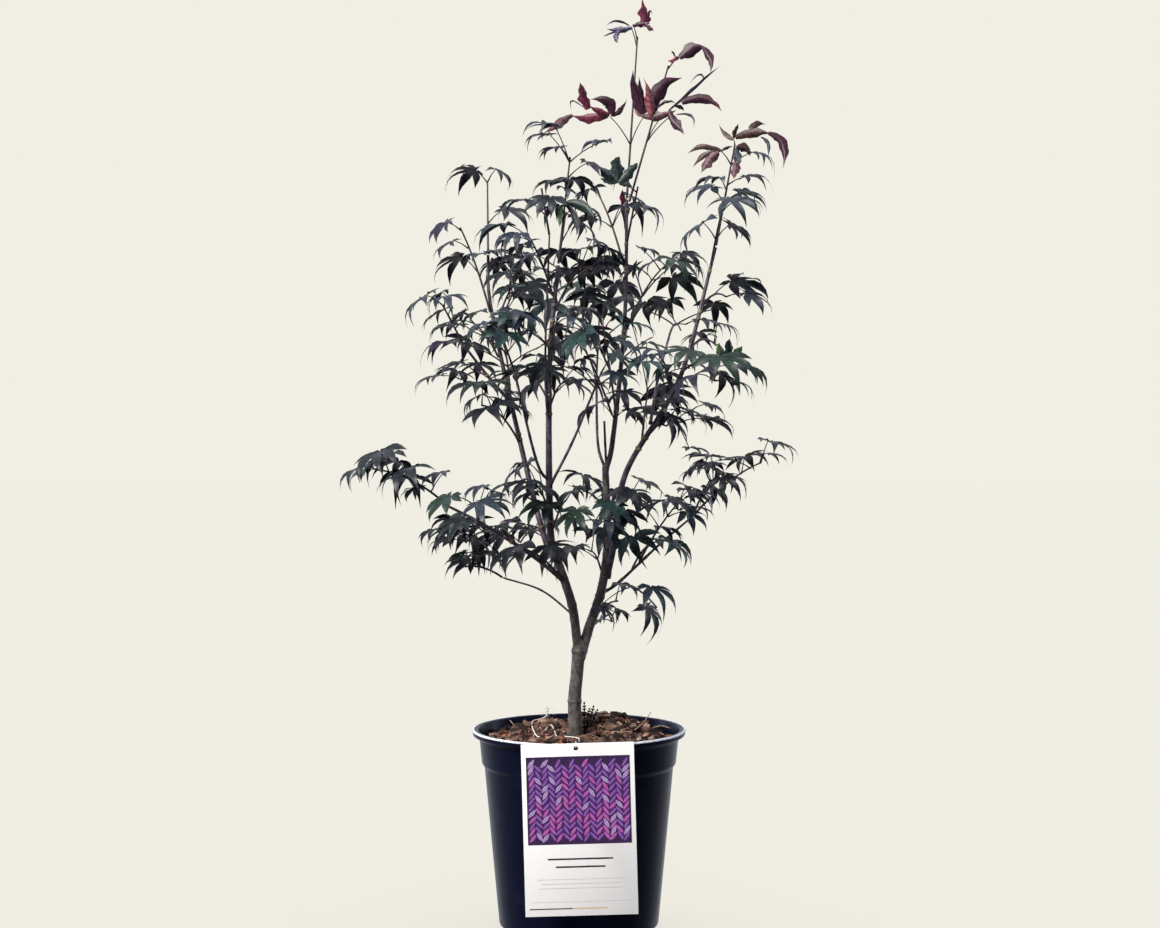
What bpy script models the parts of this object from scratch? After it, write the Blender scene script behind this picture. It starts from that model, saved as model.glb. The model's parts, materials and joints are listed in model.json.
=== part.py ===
"""Potted japanese maple: a young many-stemmed tree in a moulded nursery pot, with a hanging label.

Lengths are in millimetres and become metres in add_mesh. +Z is up, +X is to the right seen
from the label's side and +Y points away from it. The origin is the centre of the pot's flat
underside. Every limb is one tapering tube, and every mass of foliage grows from one stem.
"""
import math
import random
from collections import namedtuple

import bmesh
import bpy
from mathutils import Matrix, Vector
from mathutils.bvhtree import BVHTree
from mathutils.geometry import intersect_point_line

MM = 0.001
GAP = 0.3                    # between neighbouring solids
UP = Vector((0, 0, 1))

# ---- pot and soil ----------------------------------------------------------------------
TURN_STEPS = 28
POT_HEIGHT = 183.0
LIP_RADIUS = 100.0
BASE_RADIUS = 74.6
WALL = 1.5
FLOOR = 1.8
STEP_HEIGHT = 147.6          # where the plain wall ends and the collar begins
STEP_RADIUS = 88.4
COLLAR_FOOT = (91.0, 151.7)
COLLAR_TOP = (93.0, 172.0)
GROOVE = (55.0, 68.0)        # inner and outer radius of the recessed ring under the floor
GROOVE_DEPTH = 2.5
DRAIN_HOLES = 6
DRAIN_RADIUS = 5.0
SOIL_SEAT = 172.0            # height of the flat patch that the trunk stands on
SOIL_SEAT_RADIUS = 14.0
SOIL_CREST = 175.5

# ---- label -------------------------------------------------------------------------------
CARD_WIDTH = 100.0
CARD_HEIGHT = 153.0
CARD_THICKNESS = 0.6
CARD_CENTRE = Vector((0.7, -102.6, 108.4))
CARD_LEAN = 1.6              # degrees, right side up
CARD_HOLE = Vector((-2.7, -102.6, 180.4))
CARD_HOLE_RADIUS = 2.0
STRING_RADIUS = 0.5

# ---- leaves ------------------------------------------------------------------------------
# One leaf's outline: degrees from its middle lobe, and distance as a share of that lobe.
LOBES = ((78, 0.62), (38, 0.88), (0, 1.0))
NOTCH_SHARE = 0.30           # how far out the notches between lobes are
HEEL_SHARE = 0.05            # and the one behind the stalk
BLADE_FACES = 10             # the upper faces come first in a leaf's list
LEAF_THICKNESS = 1.1
STALK_RADIUS = 0.65
STEM_RADIUS = 1.15
SHOOT_RADIUS = 0.85
ROOT_OFFSET = 0.4            # from a twig's middle to a stalk's root
FIRST_NODE = 0.42            # share of a stem that is bare below its first pair
TRIES = 8

BARK = (0.115, 0.095, 0.092)
YOUNG_BARK = (0.070, 0.052, 0.068)
LEAF_GREEN = (0.028, 0.042, 0.040)
LEAF_PURPLE = (0.045, 0.038, 0.060)
LEAF_RED = (0.110, 0.026, 0.036)

Limb = namedtuple("Limb", "name parents route girth sides")
Mass = namedtuple("Mass", "name limb at tip bow nodes shoots leaf turn seed tint")
Placed = namedtuple("Placed", "mass share base aim roll droop")
Leaf = namedtuple("Leaf", "root base forward up length droop")

# name, limbs it is cut clear of, route, diameters at foot and tip, sides
LIMBS = (
    Limb("trunk", (), ((-3, 0, 172.3), (-4, 0, 209), (-2, 0, 233), (0, 0, 258)), (12.6, 11.0), 12),
    Limb("left_stem", ("trunk",),
         ((0, 0, 248), (-4, -3, 284), (-8, -6, 305), (-23, -14, 350)), (8.2, 7.4), 8),
    Limb("right_stem", ("trunk", "left_stem"),
         ((1, 0, 248), (9, 6, 275), (21, 13, 311), (27, 19, 357), (25, 24, 429)), (9.4, 6.2), 8),
    Limb("left_leader", ("left_stem",),
         ((-22, -14, 341), (-27, -16, 381), (-27, -28, 522), (-19, -38, 613)), (7.4, 3.6), 6),
    Limb("far_left_leader", ("left_stem", "left_leader"),
         ((-21, -13, 341), (-33, -6, 365), (-57, 19, 457), (-84, 36, 580), (-87, 42, 630)),
         (6.0, 2.8), 6),
    Limb("centre_leader", ("right_stem",),
         ((25, 24, 423), (32, 22, 453), (43, 12, 565), (45, 10, 679)), (5.2, 2.9), 6),
    Limb("right_leader", ("right_stem",),
         ((26, 17, 323), (33, 8, 355), (44, -10, 423), (93, -35, 511), (125, -42, 629)),
         (6.6, 2.9), 6),
    Limb("low_left_bough", ("left_stem",),
         ((-14, -10, 322), (-46, -34, 349), (-88, -53, 377), (-118, -60, 393)), (5.2, 2.8), 6),
    Limb("low_left_twig", ("left_stem",),
         ((-5, -4, 289), (-35, 12, 311), (-72, 27, 322)), (3.2, 2.4), 6),
    Limb("far_left_outer", ("far_left_leader",),
         ((-65, 23, 489), (-85, 16, 512), (-108, 4, 542)), (3.4, 2.4), 6),
    Limb("inner_left", ("left_leader",),
         ((-27, -18, 414), (-39, -34, 434), (-58, -64, 514)), (3.0, 2.2), 6),
    Limb("cross_branch", ("left_leader",),
         ((-27, -18, 410), (-6, -50, 451), (10, -72, 489)), (3.0, 2.2), 6),
    Limb("inner_branch", ("right_stem", "centre_leader"),
         ((25, 24, 425), (18, 38, 451), (17, 72, 513)), (3.0, 2.2), 6),
    Limb("right_inner", ("right_leader",),
         ((66, -24, 468), (74, 4, 510), (86, 26, 553)), (3.0, 2.2), 6),
    Limb("low_right_bough", ("right_stem",),
         ((21, 13, 308), (38, 25, 318), (78, 49, 353), (110, 61, 379)), (4.0, 2.6), 6),
)

# name, limb, where on it, end of the stem, bow, pairs, pairs that are shoots, length of a leaf,
# turn of the first pair in degrees, seed, tint
MASSES = (
    Mass("crown_top", "centre_leader", 1.0, (55, 12, 832), 0, 0, 0, 35, 0, 1, LEAF_RED),
    Mass("crown_right", "centre_leader", 0.96, (83, -14, 800), 0, 0, 0, 35, 10, 2, LEAF_RED),
    Mass("centre_upper", "centre_leader", 0.84, (54, -36, 685), 0, 2, 0, 33, 0, 3, LEAF_PURPLE),
    Mass("centre_right", "centre_leader", 0.52, (82, 40, 619), 8, 3, 1, 35, 0, 4, LEAF_GREEN),
    Mass("centre_left", "centre_leader", 0.74, (16, 50, 693), 8, 3, 0, 33, 20, 5, LEAF_GREEN),
    Mass("centre_back", "centre_leader", 0.26, (50, 118, 571), 12, 3, 1, 35, 0, 7, LEAF_GREEN),
    Mass("left_top", "left_leader", 1.0, (-8, -45, 711), 0, 4, 0, 33, 0, 8, LEAF_PURPLE),
    Mass("left_side", "left_leader", 0.86, (-44, -62, 635), 4, 3, 0, 33, 30, 9, LEAF_GREEN),
    Mass("left_back", "left_leader", 0.80, (8, 20, 623), 6, 3, 1, 33, 0, 10, LEAF_GREEN),
    Mass("left_front", "left_leader", 0.56, (-20, -104, 557), 6, 3, 1, 33, 0, 11, LEAF_GREEN),
    Mass("left_low", "left_leader", 0.14, (-40, -66, 414), 4, 3, 0, 33, 0, 12, LEAF_GREEN),
    Mass("far_left_top", "far_left_leader", 1.0, (-88, 52, 701), 0, 3, 0, 32, 0, 13, LEAF_PURPLE),
    Mass("far_left_out", "far_left_leader", 0.80, (-113, 30, 655), 6, 3, 0, 33, 0, 14, LEAF_PURPLE),
    Mass("far_left_in", "far_left_leader", 0.80, (-58, 78, 613), 6, 3, 0, 33, 0, 15, LEAF_GREEN),
    Mass("far_left_back", "far_left_leader", 0.56, (-75, 118, 547), 10, 3, 1, 35, 0, 16, LEAF_GREEN),
    Mass("outer_left", "far_left_outer", 1.0, (-127, -8, 579), 0, 2, 0, 35, 0, 17, LEAF_GREEN),
    Mass("outer_left_low", "far_left_outer", 0.5, (-112, 40, 511), 6, 2, 0, 35, 0, 18, LEAF_GREEN),
    Mass("left_lower", "far_left_leader", 0.42, (-90, -20, 485), 8, 3, 0, 38, 0, 39, LEAF_GREEN),
    Mass("right_top", "right_leader", 1.0, (142, -46, 722), 0, 3, 0, 32, 0, 19, LEAF_PURPLE),
    Mass("right_side", "right_leader", 0.93, (129, -68, 661), 2, 2, 0, 32, 0, 20, LEAF_PURPLE),
    Mass("right_outer", "right_leader", 0.82, (132, -70, 582), 6, 2, 0, 35, 0, 21, LEAF_GREEN),
    Mass("right_mid", "right_leader", 0.70, (128, -8, 541), 6, 2, 0, 33, 0, 22, LEAF_GREEN),
    Mass("right_droop", "right_leader", 0.62, (122, -80, 506), 10, 3, 0, 38, 0, 23, LEAF_GREEN),
    Mass("right_low", "right_leader", 0.44, (91, -60, 469), 8, 2, 0, 36, 0, 24, LEAF_GREEN),
    Mass("right_inner_back", "right_inner", 1.0, (100, 92, 561), 8, 3, 1, 35, 0, 26, LEAF_GREEN),
    Mass("right_lower_in", "right_leader", 0.40, (66, 32, 499), 6, 3, 0, 35, 0, 40, LEAF_GREEN),
    Mass("inner_back", "inner_branch", 1.0, (21, 118, 591), 0, 3, 1, 35, 0, 27, LEAF_GREEN),
    Mass("front_centre", "cross_branch", 1.0, (20, -112, 513), 0, 3, 1, 35, 0, 28, LEAF_GREEN),
    Mass("front_left", "inner_left", 1.0, (-69, -104, 549), 0, 3, 1, 33, 0, 29, LEAF_GREEN),
    Mass("low_left_end", "low_left_bough", 1.0, (-180, -66, 426), 6, 5, 0, 35, 0, 30, LEAF_GREEN),
    Mass("low_left_side", "low_left_bough", 0.78, (-93, -104, 397), 4, 4, 0, 33, 0, 31, LEAF_GREEN),
    Mass("low_left_under", "low_left_bough", 0.56, (-106, 0, 357), 6, 3, 0, 35, 0, 32, LEAF_GREEN),
    Mass("low_twig_end", "low_left_twig", 1.0, (-110, 50, 331), 4, 3, 0, 33, 0, 33, LEAF_GREEN),
    Mass("low_centre_left", "far_left_leader", 0.12, (-56, 40, 355), 6, 3, 0, 35, 0, 41, LEAF_GREEN),
    Mass("low_right_end", "low_right_bough", 1.0, (178, 78, 431), 6, 5, 0, 33, 0, 34, LEAF_GREEN),
    Mass("low_right_mid", "low_right_bough", 0.48, (95, 16, 395), 4, 3, 0, 33, 0, 35, LEAF_GREEN),
    Mass("low_right_in", "right_leader", 0.12, (66, -40, 394), 4, 3, 0, 35, 0, 42, LEAF_GREEN),
    Mass("low_right_under", "low_right_bough", 0.22, (72, -22, 298), 6, 3, 0, 33, 0, 36, LEAF_GREEN),
    Mass("centre_low", "right_stem", 0.56, (14, -44, 378), 4, 4, 0, 35, 0, 37, LEAF_GREEN),
    Mass("stem_right", "right_stem", 0.30, (32, 50, 278), 6, 1, 0, 33, 0, 38, LEAF_GREEN),
)

# leaves that stand out from the crown, set one by one: mass, where the stalk leaves its stem, end of the
# stalk, end of the middle lobe before it droops, turn about that lobe in degrees, droop
PLACED = (
    Placed("crown_top", 0.97, (50, 6, 840), (59, 12, 869), 20, 0.15),
    Placed("crown_top", 0.94, (49, 14, 839), (22, 8, 842), -10, 0.25),
    Placed("crown_top", 0.33, (28, -4, 755), (-17, -16, 780), -70, 0.20),
    Placed("crown_top", 0.33, (61, -16, 752), (74, -26, 794), -50, 0.20),
    Placed("crown_right", 0.44, (60, -36, 744), (66, -68, 752), 0, 0.40),
    Placed("crown_right", 0.44, (86, -16, 748), (127, -22, 764), 15, 0.45),
    Placed("crown_right", 0.96, (94, -18, 808), (117, -28, 818), -15, 0.45),
    Placed("crown_right", 0.60, (92, 12, 765), (131, 20, 802), 10, 0.10),
    Placed("right_top", 1.0, (141, -48, 733), (179, -56, 736), 20, 0.45),
    Placed("right_top", 0.96, (129, -54, 720), (103, -76, 714), 0, 0.40),
    Placed("left_top", 0.95, (-22, -50, 738), (-51, -62, 744), 0, 0.60),
    Placed("centre_upper", 0.90, (34, -46, 692), (35, -54, 717), 0, 0.15),
    Placed("low_right_end", 0.30, (128, 54, 437), (104, 32, 443), 0, 0.40),
)


# ---- helpers -----------------------------------------------------------------------------
def make_material(name, colour, roughness, metallic=0.0):
    material = bpy.data.materials.new(name)
    material.use_nodes = True
    material.diffuse_color = (*colour, 1)
    surface = material.node_tree.nodes["Principled BSDF"]
    surface.inputs["Base Color"].default_value = (*colour, 1)
    surface.inputs["Roughness"].default_value = roughness
    surface.inputs["Metallic"].default_value = metallic
    return material


def add_mesh(name, verts, faces, material=None):
    """An object from vertices in millimetres."""
    mesh = bpy.data.meshes.new(name)
    mesh.from_pydata([Vector(v) * MM for v in verts], [], faces)
    mesh.update()
    if material:
        mesh.materials.append(material)
    thing = bpy.data.objects.new(name, mesh)
    bpy.context.collection.objects.link(thing)
    return thing


def add_boolean(thing, operation, other, solver="EXACT"):
    """A Boolean modifier against an object or a collection."""
    modifier = thing.modifiers.new("join", "BOOLEAN")
    modifier.operation = operation
    modifier.solver = solver
    if isinstance(other, bpy.types.Collection):
        modifier.operand_type = "COLLECTION"
        modifier.collection = other
    else:
        modifier.object = other
    return modifier


def applied(thing):
    """The object's mesh as its modifiers leave it."""
    depsgraph = bpy.context.evaluated_depsgraph_get()
    return bpy.data.meshes.new_from_object(thing.evaluated_get(depsgraph))


def as_cutter(thing):
    thing.hide_render = True
    thing.display_type = "WIRE"


def turned(name, profile, material):
    """A closed solid from an outline of (radius, height) that starts and ends on the axis."""
    bm = bmesh.new()
    verts = [bm.verts.new((radius * MM, 0, height * MM)) for radius, height in profile]
    edges = [bm.edges.new(pair) for pair in zip(verts, verts[1:])]
    bmesh.ops.spin(bm, geom=verts + edges, cent=(0, 0, 0), axis=UP, angle=math.tau,
                   steps=TURN_STEPS, use_merge=True, use_duplicate=False)
    bmesh.ops.remove_doubles(bm, verts=bm.verts, dist=0.01 * MM)
    bmesh.ops.recalc_face_normals(bm, faces=bm.faces)
    mesh = bpy.data.meshes.new(name)
    bm.to_mesh(mesh)
    bm.free()
    mesh.materials.append(material)
    mesh.shade_smooth()
    mesh.set_sharp_from_angle(angle=math.radians(35))
    thing = bpy.data.objects.new(name, mesh)
    bpy.context.collection.objects.link(thing)
    return thing


def smooth_route(points, step):
    """Points about a step apart on a smooth curve through the route's own points."""
    path = [Vector(point) for point in points]
    path = [path[0] * 2 - path[1], *path, path[-1] * 2 - path[-2]]
    route = []
    for a, b, c, d in zip(path, path[1:], path[2:], path[3:]):
        count = max(1, round((c - b).length / step))
        for index in range(count):
            t = index / count
            route.append((b * 2 + (c - a) * t + (a * 2 - b * 5 + c * 4 - d) * t ** 2
                          + (b * 3 - a - c * 3 + d) * t ** 3) * 0.5)
    route.append(path[-2])
    return route


def tube(points, radii, sides):
    """Vertices and faces of a closed tube through the points."""
    verts, faces = [], []
    last = len(points) - 1
    normal = Vector((1, 0, 0.01))
    for index, (point, radius) in enumerate(zip(points, radii)):
        along = (points[min(index + 1, last)] - points[max(index - 1, 0)]).normalized()
        if abs(normal.normalized().dot(along)) > 0.97:
            normal = Vector((0, 1, 0))
        normal = (normal - along * normal.dot(along)).normalized()
        across = along.cross(normal)
        for side in range(sides):
            angle = math.tau * side / sides
            verts.append(point + (normal * math.cos(angle) + across * math.sin(angle)) * radius)
    for index in range(last):
        low, high = index * sides, (index + 1) * sides
        for side in range(sides):
            after = (side + 1) % sides
            faces.append((low + side, low + after, high + after))
            faces.append((low + side, high + after, high + side))
    faces.append(tuple(reversed(range(sides))))
    faces.append(tuple(range(last * sides, (last + 1) * sides)))
    return verts, faces


def largest_body(mesh):
    """Drops loose scraps and sealed hollows from a mesh, and says whether the rest is closed."""
    bm = bmesh.new()
    bm.from_mesh(mesh)
    waiting = set(bm.faces)
    bodies = []
    while waiting:
        front = [waiting.pop()]
        body = list(front)
        while front:
            for edge in front.pop().edges:
                for face in edge.link_faces:
                    if face in waiting:
                        waiting.remove(face)
                        body.append(face)
                        front.append(face)
        bodies.append(body)
    bodies.sort(key=len)
    for body in bodies[:-1]:
        bmesh.ops.delete(bm, geom=body, context="FACES")
    bm.to_mesh(mesh)
    closed = bool(bm.faces) and all(len(edge.link_faces) == 2 for edge in bm.edges)
    bm.free()
    return closed


# ---- pot, soil and label -----------------------------------------------------------------
def build_pot():
    """A thin-walled pot with a turned-out lip, a stepped collar and a drained floor."""
    inner, outer = GROOVE
    outside = [(0, 0), (inner, 0), (inner + 1, GROOVE_DEPTH), (outer - 1, GROOVE_DEPTH), (outer, 0),
               (BASE_RADIUS - 1.2, 0), (BASE_RADIUS, 1.4), (STEP_RADIUS, STEP_HEIGHT),
               COLLAR_FOOT, COLLAR_TOP, (LIP_RADIUS, 177.0), (LIP_RADIUS - 0.6, 180.8),
               (LIP_RADIUS - 3.0, POT_HEIGHT)]
    inside = [(94.0, POT_HEIGHT), (COLLAR_TOP[0] - WALL, COLLAR_TOP[1]),
              (COLLAR_FOOT[0] - WALL, COLLAR_FOOT[1] + 0.8), (STEP_RADIUS - WALL, STEP_HEIGHT + 0.8),
              (BASE_RADIUS - WALL, FLOOR + GROOVE_DEPTH), (inner - 0.6, FLOOR + GROOVE_DEPTH),
              (inner - 1.6, FLOOR), (0, FLOOR)]
    pot = turned("pot", outside + inside, make_material("pot_plastic", (0.012, 0.013, 0.024), 0.42))
    drains = bmesh.new()
    for index in range(DRAIN_HOLES):
        turn = Matrix.Rotation(math.tau * (index + 0.5) / DRAIN_HOLES, 4, "Z")
        place = turn @ Matrix.Translation(((inner + outer) / 2 * MM, 0, FLOOR * MM))
        bmesh.ops.create_cone(drains, cap_ends=True, segments=8, radius1=DRAIN_RADIUS * MM,
                              radius2=DRAIN_RADIUS * MM, depth=12 * MM, matrix=place)
    mesh = bpy.data.meshes.new("drain_cutter")
    drains.to_mesh(mesh)
    drains.free()
    cutter = bpy.data.objects.new("drain_cutter", mesh)
    bpy.context.collection.objects.link(cutter)
    as_cutter(cutter)
    add_boolean(pot, "DIFFERENCE", cutter)


def soil_height(radius):
    """Height of the soil's top at a radius: a flat seat, a low crest, a fall to the wall."""
    if radius < SOIL_SEAT_RADIUS:
        return SOIL_SEAT
    if radius < 55:
        share = (radius - SOIL_SEAT_RADIUS) / (55 - SOIL_SEAT_RADIUS)
        return SOIL_SEAT + (SOIL_CREST - SOIL_SEAT) * math.sin(share * math.pi / 2)
    return SOIL_CREST - 3.0 * ((radius - 55) / 36) ** 2


def build_soil():
    """The potting mix, as one body that follows the inside of the pot."""
    slack = WALL + GAP + 0.1
    side = [(0, FLOOR + GROOVE_DEPTH + GAP), (BASE_RADIUS - slack - 0.4, FLOOR + GROOVE_DEPTH + GAP),
            (STEP_RADIUS - slack, STEP_HEIGHT + 1.4), (COLLAR_FOOT[0] - slack, COLLAR_FOOT[1] + 1.4)]
    top = [(radius, soil_height(radius)) for radius in (90.9, 60, 32, SOIL_SEAT_RADIUS)]
    turned("soil", side + top + [(0, SOIL_SEAT)], make_material("potting_mix", (0.07, 0.035, 0.02), 0.95))


def build_label():
    """A card with a punched hole, and the string that hangs it over the lip."""
    card_material = make_material("label_card", (0.80, 0.79, 0.76), 0.5)
    bm = bmesh.new()
    bmesh.ops.create_cube(bm, size=1)
    bmesh.ops.scale(bm, verts=bm.verts,
                    vec=(CARD_WIDTH * MM, CARD_THICKNESS * MM, CARD_HEIGHT * MM))
    mesh = bpy.data.meshes.new("label_card")
    bm.to_mesh(mesh)
    bm.free()
    mesh.materials.append(card_material)
    card = bpy.data.objects.new("label_card", mesh)
    bpy.context.collection.objects.link(card)
    card.location = CARD_CENTRE * MM
    card.rotation_euler.y = -math.radians(CARD_LEAN)
    bm = bmesh.new()
    bmesh.ops.create_cone(bm, cap_ends=True, segments=14, radius1=CARD_HOLE_RADIUS * MM,
                          radius2=CARD_HOLE_RADIUS * MM, depth=6 * MM)
    mesh = bpy.data.meshes.new("hole_cutter")
    bm.to_mesh(mesh)
    bm.free()
    punch = bpy.data.objects.new("hole_cutter", mesh)
    bpy.context.collection.objects.link(punch)
    punch.location = CARD_HOLE * MM
    punch.rotation_euler.x = math.pi / 2
    as_cutter(punch)
    add_boolean(card, "DIFFERENCE", punch)


def on_soil(x, y, lift=0.0):
    """The string's centre where it lies on the soil."""
    return (x, y, soil_height(math.hypot(x, y)) + STRING_RADIUS + 0.5 + lift)


def build_string():
    """From a tail in front of the card, through its hole, over the lip and across the soil."""
    hole = CARD_HOLE
    route = [(hole.x, -105.2, hole.z - 5), (hole.x, -104.9, hole.z - 1.8), tuple(hole),
             (hole.x, -101.5, hole.z + 1.8), (hole.x, -99.6, POT_HEIGHT + 1.0),
             (hole.x, -96.8, POT_HEIGHT + 1.6), (hole.x, -93.6, POT_HEIGHT + 1.0),
             (hole.x - 0.3, -91.2, 180.0), (hole.x - 0.6, -89.5, 176.8),
             on_soil(-4, -80, 0.3), on_soil(0, -45, 0.3), on_soil(-14, -8), on_soil(-20, -34),
             on_soil(-27, 30), on_soil(-37, -38), on_soil(-45, 40), on_soil(-33, 62, 4),
             (-30, 74, 190)]
    points = smooth_route(route, 24)
    curve = bpy.data.curves.new("label_string", "CURVE")
    curve.dimensions = "3D"
    curve.bevel_depth = STRING_RADIUS * MM
    curve.bevel_resolution = 2
    curve.use_fill_caps = True
    spline = curve.splines.new("POLY")
    spline.points.add(len(points) - 1)
    for slot, point in zip(spline.points, points):
        slot.co = (*(point * MM), 1)
    curve.materials.append(make_material("label_string", (0.75, 0.73, 0.70), 0.85))
    string = bpy.data.objects.new("label_string", curve)
    bpy.context.collection.objects.link(string)


# ---- limbs -------------------------------------------------------------------------------
class Grown:
    """A limb's centre line and radii, for its solid, its cutter and whatever grows from it."""

    def __init__(self, limb):
        self.limb = limb
        self.points = smooth_route(limb.route, 34 if limb.name != "trunk" else 11)
        foot, tip = limb.girth
        last = len(self.points) - 1
        self.radii = [(foot + (tip - foot) * index / last) / 2 for index in range(last + 1)]
        if limb.name == "trunk":
            self.add_flare()

    def add_flare(self):
        """The trunk spreads at the soil and swells a little under its fork."""
        for index, point in enumerate(self.points):
            below = math.exp((self.points[0].z - point.z) / 7)
            above = math.exp((point.z - self.points[-1].z) / 8)
            self.radii[index] += 1.7 * below + 0.7 * above

    def solid(self, extra=0.0):
        """The tube's mesh, or one that is larger all round by an extra."""
        points = list(self.points)
        if extra:
            points[0] = points[0] + (points[0] - points[1]).normalized() * extra
            points[-1] = points[-1] + (points[-1] - points[-2]).normalized() * extra
        wider = extra / math.cos(math.pi / self.limb.sides)
        verts, faces = tube(points, [radius + wider for radius in self.radii], self.limb.sides)
        if self.limb.name == "trunk":
            for vert in verts[:self.limb.sides]:
                vert.z = points[0].z
        return verts, faces

    def at(self, share):
        """Place and radius at a share of the length."""
        place = share * (len(self.points) - 1)
        index = min(int(place), len(self.points) - 2)
        part = place - index
        point = self.points[index].lerp(self.points[index + 1], part)
        return point, self.radii[index] * (1 - part) + self.radii[index + 1] * part

    def clearance(self, point):
        """Distance from the limb's skin to a point."""
        best = math.inf
        for index in range(len(self.points) - 1):
            near, share = intersect_point_line(point, self.points[index], self.points[index + 1])
            share = min(max(share, 0), 1)
            near = self.points[index].lerp(self.points[index + 1], share)
            best = min(best, (point - near).length - self.radii[index])
        return best


def build_limbs(grown):
    """Each limb starts inside its parent and is cut back to a close saddle joint."""
    bark = make_material("bark", BARK, 0.85)
    young = make_material("young_bark", YOUNG_BARK, 0.7)
    for limb in LIMBS:
        material = bark if limb.name in ("trunk", "left_stem", "right_stem") else young
        thing = add_mesh(limb.name, *grown[limb.name].solid(), material)
        for parent in limb.parents:
            cutter = add_mesh("saddle_cutter", *grown[parent].solid(GAP))
            add_boolean(thing, "DIFFERENCE", cutter)
            mesh = applied(thing)
            largest_body(mesh)
            thing.modifiers.clear()
            thing.data = mesh
            bpy.data.objects.remove(cutter)
        thing.data.name = limb.name


# ---- the growing rule --------------------------------------------------------------------
def bent(start, end, bow, step=36):
    """A twig from start to end that bows upwards by a height in the middle."""
    middle = (start + end) / 2 + UP * bow * 2
    count = max(2, round((end - start).length / step))
    shares = [index / count for index in range(count + 1)]
    return [start * (1 - t) ** 2 + middle * 2 * t * (1 - t) + end * t ** 2 for t in shares]


def along(points, share):
    """Place and direction at a share of a twig."""
    place = share * (len(points) - 1)
    index = min(int(place), len(points) - 2)
    step = points[index + 1] - points[index]
    return points[index] + step * (place - index), step.normalized()


def sideways(axis, degrees):
    """A direction square to a twig: 0 and 180 are level, 90 is the upper side."""
    level = axis.cross(UP)
    if level.length < 0.35:
        level = axis.cross(Vector((0, 1, 0)))
    level.normalize()
    angle = math.radians(degrees)
    return level * math.cos(angle) + level.cross(axis) * math.sin(angle)


def leaf_on(rng, node, axis, degrees, size):
    """A leaf whose stalk leaves a twig on one side, rises, and lets the blade hang outwards."""
    spread = math.radians(rng.uniform(42, 62))
    side = sideways(axis, degrees + rng.uniform(-16, 16))
    out = axis * math.cos(spread) + side * math.sin(spread)
    out.z = max(out.z + rng.uniform(0.15, 0.5), 0.1)
    length = size * rng.uniform(0.82, 1.15)
    base = node + out.normalized() * length * rng.uniform(0.45, 0.75)
    level = Vector((out.x, out.y, 0))
    if level.length < 0.25:
        level = sideways(axis, degrees)
        level.z = 0
    level = Matrix.Rotation(math.radians(rng.uniform(-22, 22)), 3, "Z") @ level.normalized()
    dip = math.radians(rng.uniform(0, 28))
    forward = level * math.cos(dip) - UP * math.sin(dip)
    roll = Matrix.Rotation(math.radians(rng.uniform(-24, 24)), 3, forward)
    up = roll @ (level * math.sin(dip) + UP * math.cos(dip))
    return Leaf(node + side * ROOT_OFFSET, base, forward, up, length, rng.uniform(0.42, 0.72))


def placed_leaf(placed, stem):
    """A leaf whose stalk leaves a stem and ends at a given point."""
    node, _ = along(stem, placed.share)
    base = Vector(placed.base)
    reach = Vector(placed.aim) - base
    forward = reach.normalized()
    side = forward.cross(UP).normalized()
    up = Matrix.Rotation(math.radians(placed.roll), 3, forward) @ side.cross(forward)
    root = node + (base - node).normalized() * ROOT_OFFSET
    return Leaf(root, base, forward, up, reach.length, placed.droop)


def grow(mass, stem, twig_fits, leaf_fits):
    """Twigs and leaves of one mass: opposite pairs up a stem, each pair leaves or side shoots."""
    rng = random.Random(mass.seed)
    twigs = [stem]
    leaves = [placed_leaf(placed, stem) for placed in PLACED if placed.mass == mass.name]
    leaves = [leaf for leaf in leaves if leaf_fits(leaf)]

    def add_leaf(node, axis, degrees, size):
        tries = [leaf_on(rng, node, axis, degrees, size) for _ in range(TRIES)]
        leaf = next((leaf for leaf in tries if leaf_fits(leaf)), None)
        if leaf:
            leaves.append(leaf)

    def add_shoot(node, axis, degrees, size):
        out = (axis * 0.75 + sideways(axis, degrees) + UP * 0.25).normalized()
        end = node + out * size * rng.uniform(1.0, 1.3)
        twig = bent(node, end, 2)
        if not twig_fits(twig):
            return
        twigs.append(twig)
        _, heading = along(twig, 1)
        for hand in (0, 180):
            add_leaf(end, heading, hand + rng.uniform(-20, 20), size)

    for index in range(mass.nodes):
        last = index == mass.nodes - 1
        share = 1 if last else FIRST_NODE + (1 - FIRST_NODE) * index / max(1, mass.nodes - 1)
        node, axis = along(stem, share)
        turn = mass.turn + index * (35 + 55 * abs(axis.z))
        for hand in (0, 180):
            if index < mass.shoots:
                add_shoot(node, axis, turn + hand, mass.leaf)
            else:
                add_leaf(node, axis, turn + hand, mass.leaf)
        if last:
            add_leaf(node - axis * 3, axis, turn + 90, mass.leaf * 0.8)
    return twigs, leaves


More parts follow.
